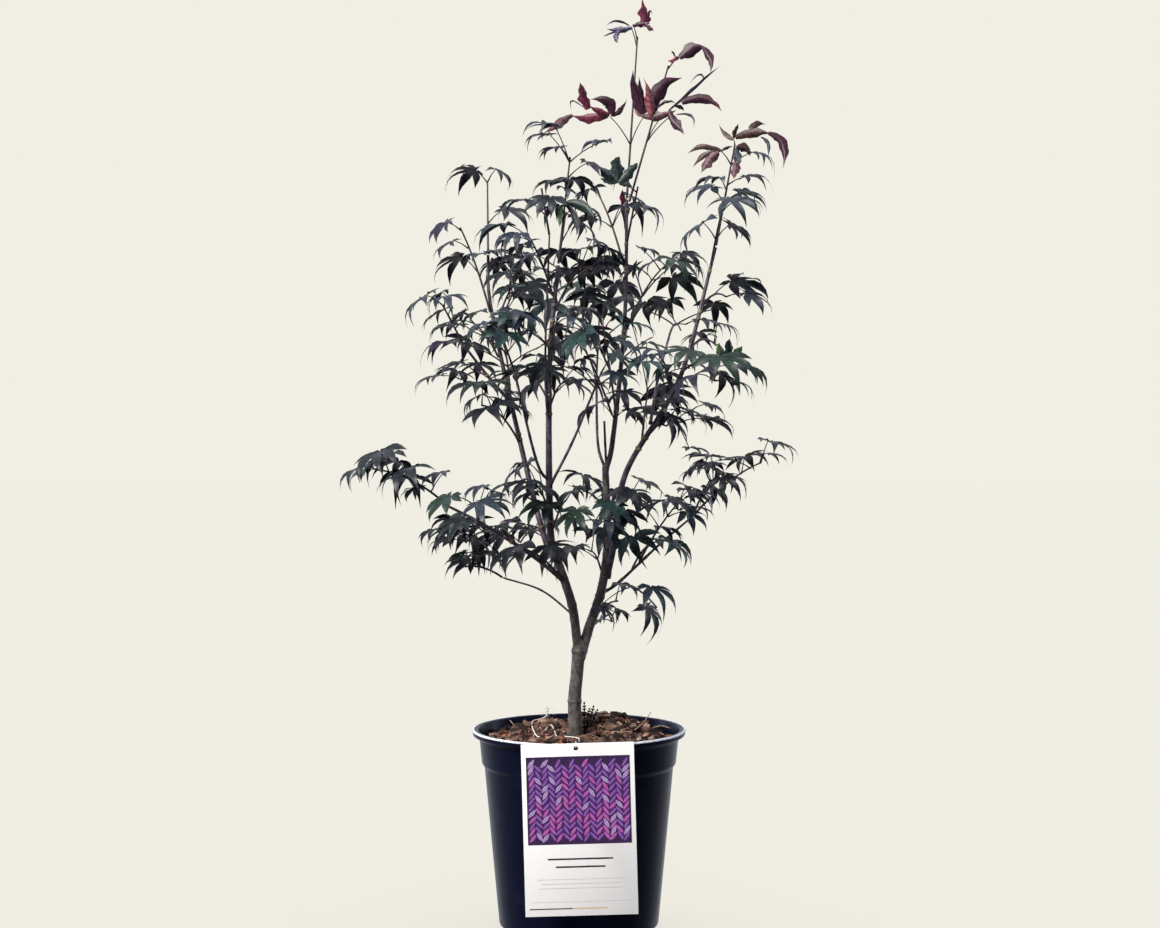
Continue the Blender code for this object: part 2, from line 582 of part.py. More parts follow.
# ---- foliage -----------------------------------------------------------------------------
def leaf_solid(leaf, grow_by=0.0):
    """A lobed blade that hangs from its stalk like an umbrella, closed with the stalk."""
    side = leaf.up.cross(leaf.forward)

    def on_blade(degrees, share, lift=0.0):
        angle = math.radians(degrees)
        flat = leaf.forward * math.cos(angle) + side * math.sin(angle)
        reach = share * leaf.length + grow_by
        return leaf.base + flat * reach + leaf.up * (lift - leaf.droop * share ** 2 * leaf.length)

    outline = [(-degrees, share) for degrees, share in LOBES]
    outline += [(degrees, share) for degrees, share in reversed(LOBES[:-1])]
    ring = [on_blade(180, HEEL_SHARE)]
    for (degrees, share), (after, _) in zip(outline, outline[1:]):
        ring.append(on_blade(degrees, share))
        ring.append(on_blade((degrees + after) / 2, NOTCH_SHARE))
    ring.append(on_blade(*outline[-1]))
    half = LEAF_THICKNESS / 2 + grow_by
    thick = STALK_RADIUS + grow_by
    stalk = (leaf.base - leaf.root).normalized()
    above = stalk.cross(side).normalized()
    # three corners each, under the blade and at the root: one above, two below and to the sides
    neck = [leaf.base - leaf.up * half * 0.9 - leaf.forward * thick * 1.6,
            leaf.base - leaf.up * (half + thick) + leaf.forward * thick * 0.3 - side * thick * 0.87,
            leaf.base - leaf.up * (half + thick) + leaf.forward * thick * 0.3 + side * thick * 0.87]
    root = [leaf.root + above * thick,
            leaf.root - above * thick * 0.5 - side * thick * 0.87,
            leaf.root - above * thick * 0.5 + side * thick * 0.87]
    verts = [leaf.base + leaf.up * half, *ring, *neck, *root]
    count = len(ring)
    first_neck, first_root = 1 + count, 4 + count
    faces = []
    owners = [0, 1, 1, 1, 1, 2, 2, 2, 2, 0]
    for index in range(count):
        faces.append((0, 1 + index, 1 + (index + 1) % count))
    for index in range(count):
        after = (index + 1) % count
        faces.append((1 + after, 1 + index, first_neck + owners[index]))
        if owners[after] != owners[index]:
            faces.append((1 + after, first_neck + owners[index], first_neck + owners[after]))
    for corner in range(3):
        after = (corner + 1) % 3
        faces.append((first_neck + after, first_neck + corner, first_root + corner))
        faces.append((first_neck + after, first_root + corner, first_root + after))
    faces.append((first_root + 2, first_root + 1, first_root))
    return verts, faces


def twig_solid(points, radius, grow_by=0.0):
    last = len(points) - 1
    radii = [radius * (1 - 0.35 * index / last) + grow_by for index in range(last + 1)]
    return tube(points, radii, 3)


def fuse(name, solids, material):
    """One solid from overlapping ones, by a Boolean union on a collection."""
    body = add_mesh(name, *solids[0], material)
    group = bpy.data.collections.new("to_fuse")
    bpy.context.scene.collection.children.link(group)
    for verts, faces in solids[1:]:
        piece = add_mesh("piece", verts, faces, material)
        bpy.context.collection.objects.unlink(piece)
        group.objects.link(piece)
    for solver, use_self in (("EXACT", False), ("EXACT", True), ("MANIFOLD", False)):
        modifier = add_boolean(body, "UNION", group, solver)
        modifier.use_self = use_self
        mesh = applied(body)
        body.modifiers.remove(modifier)
        if largest_body(mesh):
            break
    else:
        raise ValueError(name + " isn't one closed solid")
    body.data = mesh
    mesh.name = name
    for piece in list(group.objects):
        bpy.data.objects.remove(piece)
    bpy.data.collections.remove(group)


def stem_of(mass, limb):
    """The mass's stem, started where it is just clear of the limb it leaves."""
    foot, _ = limb.at(mass.at)
    end = Vector(mass.tip)
    whole = bent(foot, end, mass.bow)
    share = 0.0
    while share < 0.5:
        place, axis = along(whole, share)
        corners = [place + sideways(axis, angle) * STEM_RADIUS for angle in (0, 90, 180, 270)]
        if min(limb.clearance(corner) for corner in corners) >= GAP:
            break
        share += 0.002
    return bent(place, end, mass.bow)


def build_masses(grown):
    """Each mass keeps clear of the limbs, the pot and the masses that stand already."""
    tints = {LEAF_GREEN: "leaf_green", LEAF_PURPLE: "leaf_purple", LEAF_RED: "leaf_red"}
    materials = {tint: make_material(name, tint, 0.45) for tint, name in tints.items()}
    limbs = [BVHTree.FromPolygons(*limb.solid()) for limb in grown.values()]
    stems = {mass.name: stem_of(mass, grown[mass.limb]) for mass in MASSES}
    bare = {name: BVHTree.FromPolygons(*twig_solid(stem, STEM_RADIUS)) for name, stem in stems.items()}
    full = {}
    for mass in MASSES:
        others = [tree for name, tree in bare.items() if name != mass.name] + limbs
        others += [tree for trees in full.values() for tree in trees]

        def fits(solid):
            tree = BVHTree.FromPolygons(*solid)
            return not any(tree.overlap(other) for other in others)

        def twig_fits(points):
            return fits(twig_solid(points, SHOOT_RADIUS, 0.6))

        def leaf_fits(leaf):
            verts, faces = leaf_solid(leaf, 0.7)
            blade = BVHTree.FromPolygons(verts, faces[:BLADE_FACES])
            if not fits((verts, faces)) or any(blade.overlap(other) for other in own):
                return False
            own.append(BVHTree.FromPolygons(*leaf_solid(leaf)))
            return True

        stem = stems[mass.name]
        own = [bare[mass.name]]
        if not fits(twig_solid(stem, STEM_RADIUS, 0.15)):
            raise ValueError(mass.name + "'s stem meets a neighbour")
        twigs, leaves = grow(mass, stem, twig_fits, leaf_fits)
        solids = [twig_solid(twigs[0], STEM_RADIUS)]
        solids += [twig_solid(twig, SHOOT_RADIUS) for twig in twigs[1:]]
        solids += [leaf_solid(leaf) for leaf in leaves]
        fuse(mass.name, solids, materials[mass.tint])
        full[mass.name] = [BVHTree.FromPolygons(*solid) for solid in solids]
        print(mass.name, len(leaves), "leaves")


def main():
    for thing in list(bpy.data.objects):
        bpy.data.objects.remove(thing)
    build_pot()
    build_soil()
    build_label()
    build_string()
    grown = {limb.name: Grown(limb) for limb in LIMBS}
    build_limbs(grown)
    build_masses(grown)


main()
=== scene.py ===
# %% [markdown]
# # A young japanese maple in a nursery pot
# The object is a small garden-centre tree: a moulded plastic pot, bark potting mix, a hanging card,
# a grey trunk that forks into dark upright stems, and open tiers of lobed leaves. The solids are
# already packed, so this script gives them their looks. Each piece is modelled at its real size, in
# metres, in the same frame as the solids, and stands for the solid that it covers.

# %% Load the frame and note its box
import json
import math
import random
from collections import namedtuple

import bmesh
import bpy
from mathutils import Matrix, Vector, noise
from mathutils.bvhtree import BVHTree
from mathutils.geometry import intersect_point_line

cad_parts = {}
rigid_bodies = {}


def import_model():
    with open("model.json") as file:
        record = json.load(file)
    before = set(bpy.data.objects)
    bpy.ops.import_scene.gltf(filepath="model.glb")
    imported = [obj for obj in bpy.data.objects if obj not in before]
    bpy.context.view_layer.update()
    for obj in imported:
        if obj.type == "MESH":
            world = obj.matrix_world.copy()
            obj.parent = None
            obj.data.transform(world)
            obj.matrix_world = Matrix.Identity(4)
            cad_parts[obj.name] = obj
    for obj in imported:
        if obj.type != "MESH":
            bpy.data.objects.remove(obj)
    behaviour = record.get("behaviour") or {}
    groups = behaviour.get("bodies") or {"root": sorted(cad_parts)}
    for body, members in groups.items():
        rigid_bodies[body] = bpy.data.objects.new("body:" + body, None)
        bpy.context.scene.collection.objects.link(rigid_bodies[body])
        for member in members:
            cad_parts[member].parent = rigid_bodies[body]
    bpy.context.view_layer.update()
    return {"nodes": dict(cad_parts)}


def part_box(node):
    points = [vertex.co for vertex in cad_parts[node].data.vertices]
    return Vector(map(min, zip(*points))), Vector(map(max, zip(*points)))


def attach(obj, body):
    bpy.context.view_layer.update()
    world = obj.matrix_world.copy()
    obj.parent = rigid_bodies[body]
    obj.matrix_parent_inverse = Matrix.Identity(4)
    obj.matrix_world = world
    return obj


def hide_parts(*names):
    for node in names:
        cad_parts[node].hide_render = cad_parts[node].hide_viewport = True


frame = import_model()
MM = 0.001
UP = Vector((0, 0, 1))
print("solids in the frame:", len(frame["nodes"]))

# %% [markdown]
# ## Colours and nodes
# Paint charts and colour pickers give sRGB hex values, but shaders add and mix light, so they need
# linear numbers. One function turns the first into the second. A second function adds any node with
# its settings and links, which keeps each material below down to the few lines that say what it is.

# %% Two small material helpers
def srgb(code):
    """A linear RGBA colour from a hex code such as #1c2031."""
    shares = [int(code[place:place + 2], 16) / 255 for place in (1, 3, 5)]
    linear = [share / 12.92 if share <= 0.04045 else ((share + 0.055) / 1.055) ** 2.4 for share in shares]
    return (*linear, 1)


def add_node(tree, kind, inputs=(), **settings):
    """A node with its own settings, and inputs that are values or other nodes' outputs."""
    node = tree.nodes.new(kind)
    for name, value in settings.items():
        setattr(node, name, value)
    for name, value in dict(inputs).items():
        if isinstance(value, bpy.types.NodeSocket):
            tree.links.new(value, node.inputs[name])
        else:
            node.inputs[name].default_value = value
    return node


def new_material(name, colour, **sockets):
    """A material with its tree, its shader and the coordinates of the object it is on."""
    material = bpy.data.materials.new(name)
    material.use_nodes = True
    material.diffuse_color = srgb(colour)
    tree = material.node_tree
    shader = tree.nodes["Principled BSDF"]
    shader.inputs["Base Color"].default_value = srgb(colour)
    for socket, value in sockets.items():
        shader.inputs[socket.replace("_", " ")].default_value = value
    place = tree.nodes.new("ShaderNodeTexCoord").outputs["Object"]
    print("material:", name)
    return material, tree, shader, place

# %% [markdown]
# Most finishes below are a ground colour, other colours laid over it where a pattern is strong, and
# a relief or two. So that is one function as well.

# %% Lay colours and reliefs over each other
# Inputs of a Mix node that mixes colours are reached by number: the share, then the two colours.
SHARE, FIRST, SECOND, MIXED = 0, 6, 7, 2


def lay_on(tree, shader, ground, colours, reliefs=()):
    """A ground with colours and reliefs laid over it.

    Each colour has its pattern, the two values between which the pattern counts, the colour's share
    at each of them, and its hex code. Each relief has its pattern, strength and depth in metres.
    """
    colour = srgb(ground)
    for pattern, low, high, share_low, share_high, code in colours:
        share = add_node(tree, "ShaderNodeMapRange", {
            "Value": pattern, "From Min": low, "From Max": high, "To Min": share_low, "To Max": share_high})
        mixed = add_node(tree, "ShaderNodeMix", {
            SHARE: share.outputs["Result"], FIRST: colour, SECOND: srgb(code)}, data_type="RGBA")
        colour = mixed.outputs[MIXED]
    tree.links.new(colour, shader.inputs["Base Color"])
    below = {}
    for pattern, strength, depth in reliefs:
        bump = add_node(tree, "ShaderNodeBump", {
            "Height": pattern, "Strength": strength, "Distance": depth, **below})
        below = {"Normal": bump.outputs["Normal"]}
    if below:
        tree.links.new(below["Normal"], shader.inputs["Normal"])


# %% [markdown]
# ## Making and placing a piece
# Every piece is drawn in a bmesh, in metres, where it stands. Its object stays at the origin, so
# object coordinates are the same as places in the frame. Each one rides on the only body and says
# which solids it stands for.

# %% Turn a bmesh into a finished piece
def add_piece(name, bm, materials, replaced=(), sharp_angle=0):
    """An object from a bmesh, shaded smooth except across edges sharper than an angle."""
    mesh = bpy.data.meshes.new(name)
    bm.to_mesh(mesh)
    bm.free()
    for material in materials:
        mesh.materials.append(material)
    mesh.shade_smooth()
    if sharp_angle:
        mesh.set_sharp_from_angle(angle=math.radians(sharp_angle))
    piece = bpy.data.objects.new(name, mesh)
    bpy.context.collection.objects.link(piece)
    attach(piece, "root")
    if replaced:
        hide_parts(*replaced)
    print(name, len(mesh.polygons), "faces")
    return piece


def apply_modifiers(piece):
    """Keeps the mesh as the modifiers leave it, and drops them."""
    mesh = bpy.data.meshes.new_from_object(piece.evaluated_get(bpy.context.evaluated_depsgraph_get()))
    piece.modifiers.clear()
    piece.data = mesh


def punch(piece, tool):
    """Cuts the shape of a tool out of a piece, and throws the tool away."""
    mesh = bpy.data.meshes.new("punch")
    tool.to_mesh(mesh)
    tool.free()
    cutter = bpy.data.objects.new("punch", mesh)
    bpy.context.collection.objects.link(cutter)
    cut = piece.modifiers.new("cut", "BOOLEAN")
    cut.operation = "DIFFERENCE"
    cut.object = cutter
    apply_modifiers(piece)
    bpy.data.objects.remove(cutter)
    print(piece.name, "after punching:", len(piece.data.polygons), "faces")


# %% [markdown]
# ## Finish of the pot: moulded polypropylene
# A nursery pot is blow- or injection-moulded from recycled polypropylene, coloured navy-black. The
# plastic is satin, with soft broad highlights on the flanks; the crisp light line on the lip is a painted
# highlight, a pale bead laid on it further on. Its surface has a very fine orange peel and faint vertical
# flow marks from the mould, and a dry film of dust lies on it in random patches. The flow marks are about 6
# mm wide and the peel about 1 mm.

# %% The pot's plastic
pot_plastic, tree, shader, place = new_material(
    "moulded_polypropylene", "#0d0f20", Roughness=0.28, IOR=1.49, Specular_IOR_Level=0.05)
stretched = add_node(tree, "ShaderNodeMapping", {"Vector": place, "Scale": (1, 1, 0.06)})
flow = add_node(tree, "ShaderNodeTexNoise",
                {"Vector": stretched.outputs["Vector"], "Scale": 160, "Detail": 4})
peel = add_node(tree, "ShaderNodeTexNoise", {"Vector": place, "Scale": 900, "Detail": 2})
dust = add_node(tree, "ShaderNodeTexNoise", {"Vector": place, "Scale": 38, "Detail": 6, "Roughness": 0.65})
gloss = add_node(tree, "ShaderNodeMapRange", {
    "Value": flow.outputs["Fac"], "From Min": 0.3, "From Max": 0.7, "To Min": 0.20, "To Max": 0.32})
tree.links.new(gloss.outputs["Result"], shader.inputs["Roughness"])
lay_on(tree, shader, "#0d1024", [(dust.outputs["Fac"], 0.52, 0.80, 0, 0.25, "#2b2f4a")],
       [(flow.outputs["Fac"], 0.10, 0.0006), (peel.outputs["Fac"], 0.08, 0.0002)])

# %% [markdown]
# ## The pot
# The real pot is a thin shell, 1.5 mm thick, with a turned-out lip, a plain collar that lets pots
# stack, and a floor with a raised ring that holds the drain holes. A lathe is the natural way to
# make it: draw half of the section once, spin it round, and round off the sharp rings with a bevel.

# %% Pot sizes, in millimetres
POT_HEIGHT = 183.0
LIP_RADIUS = 100.0
BASE_RADIUS = 74.6
WALL = 1.5
FLOOR = 1.8
STEP_HEIGHT = 147.6
STEP_RADIUS = 88.4
COLLAR_FOOT = (91.0, 151.7)
COLLAR_TOP = (93.0, 172.0)
GROOVE = (55.0, 68.0)
GROOVE_DEPTH = 2.5
DRAIN_HOLES = 6
DRAIN_RADIUS = 5.0
POT_STEPS = 120


# %% Spin the section and bevel its rings
def turned(profile, steps, rounding=0.0, segments=2):
    """A closed solid from an outline of (radius, height) in millimetres."""
    bm = bmesh.new()
    verts = [bm.verts.new((radius * MM, 0, height * MM)) for radius, height in profile]
    edges = [bm.edges.new(pair) for pair in zip(verts, verts[1:])]
    bmesh.ops.spin(bm, geom=verts + edges, cent=(0, 0, 0), axis=UP, angle=math.tau,
                   steps=steps, use_merge=True, use_duplicate=False)
    bmesh.ops.remove_doubles(bm, verts=bm.verts, dist=0.01 * MM)
    bmesh.ops.recalc_face_normals(bm, faces=bm.faces)
    if rounding:
        rings = [edge for edge in bm.edges
                 if abs(edge.verts[0].co.z - edge.verts[1].co.z) < 1e-6
                 and abs(edge.verts[0].co.xy.length - edge.verts[1].co.xy.length) < 1e-6
                 and len(edge.link_faces) == 2 and edge.calc_face_angle() > math.radians(14)]
        bmesh.ops.bevel(bm, geom=rings, offset=rounding * MM, segments=segments, profile=0.5,
                        affect="EDGES", material=-1, clamp_overlap=True)
    return bm


inner, outer = GROOVE
outside = [(0, 0), (inner, 0), (inner + 1, GROOVE_DEPTH), (outer - 1, GROOVE_DEPTH), (outer, 0),
           (BASE_RADIUS - 1.4, 0), (BASE_RADIUS, 1.6), (BASE_RADIUS + 2.0, 22), (STEP_RADIUS, STEP_HEIGHT),
           COLLAR_FOOT, COLLAR_TOP, (93.8, 174.8), (LIP_RADIUS - 0.8, 177.6), (LIP_RADIUS, 181.2),
           (LIP_RADIUS - 1.7, POT_HEIGHT)]
inside = [(94.4, POT_HEIGHT - 0.6), (COLLAR_TOP[0] - WALL, COLLAR_TOP[1]),
          (COLLAR_FOOT[0] - WALL, COLLAR_FOOT[1] + 0.8), (STEP_RADIUS - WALL, STEP_HEIGHT + 0.8),
          (BASE_RADIUS - WALL, FLOOR + GROOVE_DEPTH), (inner - 0.6, FLOOR + GROOVE_DEPTH),
          (inner - 1.6, FLOOR), (0, FLOOR)]
pot = add_piece("nursery_pot", turned(outside + inside, POT_STEPS, 0.7, 3), [pot_plastic],
                ["pot"], 50)

# %% [markdown]
# The top edge of the lip shows as a thin light line all round. That line is a painted highlight:
# a pale bead of 2.6 mm, let half into the lip, with near-white flecks on it.

# %% The lip's light line, a painted highlight
# painted highlight: a pale blue-grey bead with near-white flecks stands for the light on the lip's edge
lip_highlight_paint, tree, shader, place = new_material(
    "painted_lip_highlight", "#aeb4cc", Roughness=0.35, IOR=1.49, Specular_IOR_Level=0.5)
highlight_flecks = add_node(tree, "ShaderNodeTexNoise", {"Vector": place, "Scale": 260, "Detail": 6, "Roughness": 0.7})
lay_on(tree, shader, "#a9aec6", [(highlight_flecks.outputs["Fac"], 0.35, 0.6, 0, 1, "#f6f8ff")])

BEAD_RADIUS = 1.3
BEAD_SIDES = 8
bead_x, bead_z = LIP_RADIUS - 1.35, POT_HEIGHT - BEAD_RADIUS
corners = [index * math.tau / BEAD_SIDES for index in range(BEAD_SIDES + 1)]
bead = turned([(bead_x + BEAD_RADIUS * math.cos(corner), bead_z + BEAD_RADIUS * math.sin(corner))
               for corner in corners], POT_STEPS)
add_piece("lip_painted_highlight_bead", bead, [lip_highlight_paint])

# %% [markdown]
# The drain holes are punched through the raised ring. A Boolean with one tool of six short
# cylinders does that in one go.

# %% Punch the drain holes
drains = bmesh.new()
for index in range(DRAIN_HOLES):
    turn = Matrix.Rotation(math.tau * (index + 0.5) / DRAIN_HOLES, 4, "Z")
    spot = turn @ Matrix.Translation(((inner + outer) / 2 * MM, 0, FLOOR * MM))
    bmesh.ops.create_cone(drains, cap_ends=True, segments=24, radius1=DRAIN_RADIUS * MM,
                          radius2=DRAIN_RADIUS * MM, depth=12 * MM, matrix=spot)
punch(pot, drains)

# %% [markdown]
# ## A sweep for stems, fibres and string
# Stems, stalks, coir and twine are all long thin tubes. A circle is drawn at the foot, its rim is
# extruded ring by ring along the line, and each new ring is moved, turned and scaled into place with
# one matrix. A frame that is carried along the line without twisting keeps the sides straight.

# %% Sweep a tube along points
NEARLY_PARALLEL = 0.97


def frames_along(points, normal=Vector((1, 0, 0.01))):
    """A position matrix for each point, with Z along the line."""
    last = len(points) - 1
    found = []
    for index, point in enumerate(points):
        heading = (points[min(index + 1, last)] - points[max(index - 1, 0)]).normalized()
        if abs(normal.normalized().dot(heading)) > NEARLY_PARALLEL:
            normal = Vector((0, 1, 0))
        normal = (normal - heading * normal.dot(heading)).normalized()
        across = heading.cross(normal)
        found.append(Matrix.Translation(point)
                     @ Matrix((normal, across, heading)).transposed().to_4x4())
    return found


def sweep(bm, points, radii, sides):
    """A closed tube through points in metres, with one radius for each."""
    places = [place @ Matrix.Scale(radius, 4) for place, radius in zip(frames_along(points), radii)]
    ring = bmesh.ops.create_circle(bm, cap_ends=True, segments=sides, radius=1, matrix=places[0])["verts"]
    rim = list({edge for vert in ring for edge in vert.link_edges})
    bmesh.ops.reverse_faces(bm, faces=ring[0].link_faces[:])
    for before, after in zip(places, places[1:]):
        extruded = bmesh.ops.extrude_edge_only(bm, edges=rim)["geom"]
        ring = [item for item in extruded if isinstance(item, bmesh.types.BMVert)]
        rim = [item for item in extruded if isinstance(item, bmesh.types.BMEdge)]
        bmesh.ops.transform(bm, matrix=after @ before.inverted(), verts=ring)
        rim = [edge for edge in rim if edge.verts[0] in ring and edge.verts[1] in ring]
    bmesh.ops.contextual_create(bm, geom=rim)


# %% Put small parts into a big mesh
def add_to(bm, part):
    """Moves a small finished bmesh into a big one, which is much faster than growing it there."""
    carrier = bpy.data.meshes.new("carrier")
    part.to_mesh(carrier)
    part.free()
    bm.from_mesh(carrier)
    bpy.data.meshes.remove(carrier)


def add_tube(bm, points, radii, sides, unit=MM):
    """A small closed tube in a big mesh, through points in millimetres unless another unit is given."""
    part = bmesh.new()
    sweep(part, [point * unit for point in points], [radius * unit for radius in radii], sides)
    add_to(bm, part)


# %% Smooth a route of a few points
def smooth_route(points, step):
    """Points about a step apart on a smooth curve through the route's own points."""
    path = [Vector(point) for point in points]
    path = [path[0] * 2 - path[1], *path, path[-1] * 2 - path[-2]]
    route = []
    for a, b, c, d in zip(path, path[1:], path[2:], path[3:]):
        count = max(1, round((c - b).length / step))
        for index in range(count):
            t = index / count
            route.append((b * 2 + (c - a) * t + (a * 2 - b * 5 + c * 4 - d) * t ** 2
                          + (b * 3 - a - c * 3 + d) * t ** 3) * 0.5)
    route.append(path[-2])
    return route


# %% [markdown]
# ## Finish of the potting mix
# Potting mix for young trees is composted bark with coir fibre. Fresh bark chips are orange-brown on
# the inside and grey-brown outside, and the fine humus between them is nearly black. It is matt and a
# little moist, so it is rough with almost no shine. Each chip has streaks about 1 mm wide.

# %% Bark chips, humus and fibre
def mix_material(name, dark, light, scale, roughness=0.9):
    """Crumbly plant matter: two colours in fibrous patches, and a rough relief."""
    material, tree, shader, place = new_material(name, dark, Roughness=roughness, Specular_IOR_Level=0.25)
    grain = add_node(tree, "ShaderNodeTexNoise",
                     {"Vector": place, "Scale": scale, "Detail": 8, "Roughness": 0.7, "Distortion": 0.6})
    lay_on(tree, shader, dark, [(grain.outputs["Fac"], 0.35, 0.65, 0, 1, light)],
           [(grain.outputs["Fac"], 0.6, 0.0008)])
    return material


humus = mix_material("composted_humus", "#120c0c", "#3a2a25", 420)
chip_brown = mix_material("bark_chip_brown", "#3f2c27", "#846557", 700)
chip_dark = mix_material("bark_chip_dark", "#171011", "#3b2b2a", 700)
chip_orange = mix_material("bark_chip_orange", "#7a4530", "#b37050", 600)
# the pale chips are a painted highlight: light pinkish chips stand for light on the tops of the mix
chip_painted_highlight = mix_material("bark_chip_painted_highlight", "#6f5449", "#b79a8b", 600)
coir = mix_material("coir_fibre", "#7d6350", "#c7aa90", 900, 0.8)

# %% [markdown]
# ## The potting mix
# The bed is a lathed body with a finely divided top that noise pushes up and down, with a low heap
# behind and to the right of the trunk. On it lie some hundreds of bark chips. Each chip starts as an
# icosphere of 20 faces, is flattened, and has its corners pushed about, which looks like broken bark
# and costs little.

# %% Height of the mix
SOIL_SEAT = 172.0
SOIL_CREST = 175.5
SEAT_RADIUS = 14.0
CREST_RADIUS = 55
BED_RADIUS = 90.9
EDGE_DROP, EDGE_WIDTH = 6.5, 36
# place, height and spread in square millimetres
HEAPS = ((27, 42, 12.5, 1100), (-34, 40, 2.5, 900))
LEVEL_RADIUS = 20


def bed_height(x, y):
    """Height of the soil's top, in millimetres: it rises from the trunk's seat and falls to the wall."""
    radius = math.hypot(x, y)
    if radius < SEAT_RADIUS:
        level = SOIL_SEAT
    elif radius < CREST_RADIUS:
        level = SOIL_SEAT + (SOIL_CREST - SOIL_SEAT) * math.sin(
            (radius - SEAT_RADIUS) / (CREST_RADIUS - SEAT_RADIUS) * math.pi / 2)
    else:
        level = SOIL_CREST - EDGE_DROP * ((radius - CREST_RADIUS) / EDGE_WIDTH) ** 1.5
    for heap_x, heap_y, height, spread in HEAPS:
        level += height * math.exp(-((x - heap_x) ** 2 + (y - heap_y) ** 2) / spread)
    rough = noise.noise(Vector((x, y, 3)) / 9) * 1.6 + noise.noise(Vector((x, y, 8)) / 3.5) * 0.8
    return level + rough * min(1, radius / LEVEL_RADIUS)


print("height of the mix at the heaps, in mm:", [round(bed_height(*heap[:2])) for heap in HEAPS])

# %% The bed
GAP = 0.3
BED_RINGS, BED_STEPS = 40, 96
UNDER_CHIPS = 0.6
slack = WALL + GAP + 0.1
side = [(0, FLOOR + GROOVE_DEPTH + GAP), (BASE_RADIUS - slack - 0.4, FLOOR + GROOVE_DEPTH + GAP),
        (STEP_RADIUS - slack, STEP_HEIGHT + 1.4), (COLLAR_FOOT[0] - slack, COLLAR_FOOT[1] + 1.4),
        (BED_RADIUS, SOIL_SEAT - 4)]
rings = [(BED_RADIUS * (1 - index / BED_RINGS), SOIL_SEAT) for index in range(BED_RINGS + 1)]
bed = turned(side + rings, BED_STEPS)
for vert in bed.verts:
    if vert.co.z > (SOIL_SEAT - 1) * MM:
        vert.co.z = (bed_height(vert.co.x / MM, vert.co.y / MM) - UNDER_CHIPS) * MM
add_piece("soil_bed", bed, [humus], ["soil"])


# %% Chips of bark
def add_chip(bm, rng, spot, length):
    """One broken chip, lying at a tilt."""
    part = bmesh.new()
    size = Matrix.Diagonal((length / 2, length * rng.uniform(0.2, 0.4),
                            length * rng.uniform(0.12, 0.32), 1))
    turn = Matrix.Rotation(rng.uniform(0, math.tau), 4, "Z")
    tilt = Matrix.Rotation(rng.gauss(0, 0.38), 4, "X") @ Matrix.Rotation(rng.gauss(0, 0.3), 4, "Y")
    verts = bmesh.ops.create_icosphere(part, subdivisions=1, radius=1)["verts"]
    for vert in verts:
        vert.co *= rng.uniform(0.55, 1.35)
    bmesh.ops.transform(part, matrix=Matrix.Translation(spot) @ turn @ tilt @ size, verts=verts)
    add_to(bm, part)


def scattered(rng, reach):
    """A random place within a reach of the pot's axis, evenly spread."""
    radius = reach * math.sqrt(rng.random())
    angle = rng.uniform(0, math.tau)
    return radius * math.cos(angle), radius * math.sin(angle)


# %% Scatter the chips
CHIP_TRIES, CHIP_REACH, CHIP_SEED = 2300, 88, 11
CHIP_LENGTHS = (2.5, 3, 3.5, 4.5, 5.5, 7, 9, 14)
CHIP_EDGE = 90.5
TRUNK_FOOT, FOOT_RADIUS = Vector((-3, 0)), 8
# the pale kind is the painted highlight on the mix
chip_barks = {"brown": chip_brown, "dark": chip_dark, "orange": chip_orange, "pale": chip_painted_highlight}
chips = {kind: bmesh.new() for kind in chip_barks}
rng = random.Random(CHIP_SEED)
for _ in range(CHIP_TRIES):
    x, y = scattered(rng, CHIP_REACH)
    length = rng.choice(CHIP_LENGTHS) * rng.uniform(0.8, 1.2)
    if math.dist((x, y), TRUNK_FOOT) < FOOT_RADIUS + length / 2 or math.hypot(x, y) + length / 2 > CHIP_EDGE:
        continue
    kind = rng.choices(tuple(chips), (6, 6, 1.6 if x < 0 else 0.7, 1.6))[0]
    lift = rng.uniform(-0.2, 1.8) + (rng.random() ** 3) * 3.5
    add_chip(chips[kind], rng, Vector((x, y, bed_height(x, y) + lift)) * MM, length * MM)
for kind, bark in chip_barks.items():
    add_piece("bark_chips_" + kind, chips[kind], [bark], (), 12)

# %% [markdown]
# Coir fibres from the husks of coconuts lie over and between the chips. Each is a thin three-sided
# sweep along six points, which bends to one side and stands a little off the mix in the middle.

# %% Coir fibres
FIBRE_TRIES, FIBRE_REACH, FIBRE_EDGE = 230, 84, 89
FIBRE_LIFT = 1.2
FIBRE_TAPER = (0.7, 1, 1, 0.9, 0.7, 0.4)
fibres = bmesh.new()
for _ in range(FIBRE_TRIES):
    foot = Vector((*scattered(rng, FIBRE_REACH), 0))
    heading = Vector((rng.gauss(0, 1), rng.gauss(0, 1), 0)).normalized()
    bend = heading.cross(UP) * rng.uniform(-0.5, 0.5)
    length = rng.uniform(6, 26)
    line = []
    for index in range(len(FIBRE_TAPER)):
        share = index / (len(FIBRE_TAPER) - 1)
        spot = foot + (heading + bend * share) * length * share
        arch = math.sin(share * math.pi) * rng.uniform(0.4, 3.2)
        spot.z = bed_height(spot.x, spot.y) + FIBRE_LIFT + arch
        line.append(spot)
    in_pot = all(spot.xy.length < FIBRE_EDGE for spot in line)
    if in_pot and all((spot.xy - TRUNK_FOOT).length > FOOT_RADIUS + 1 for spot in line):
        add_tube(fibres, line, [rng.uniform(0.18, 0.42) * taper for taper in FIBRE_TAPER], 3)
add_piece("coir_fibres", fibres, [coir])

# %% [markdown]
# A dark dry seed spray and a few bits of twig lie beside the trunk. The spray is a stem with short
# bristles in pairs, and each pair is turned by 47 degrees from the last, so that they stand all
# round it.

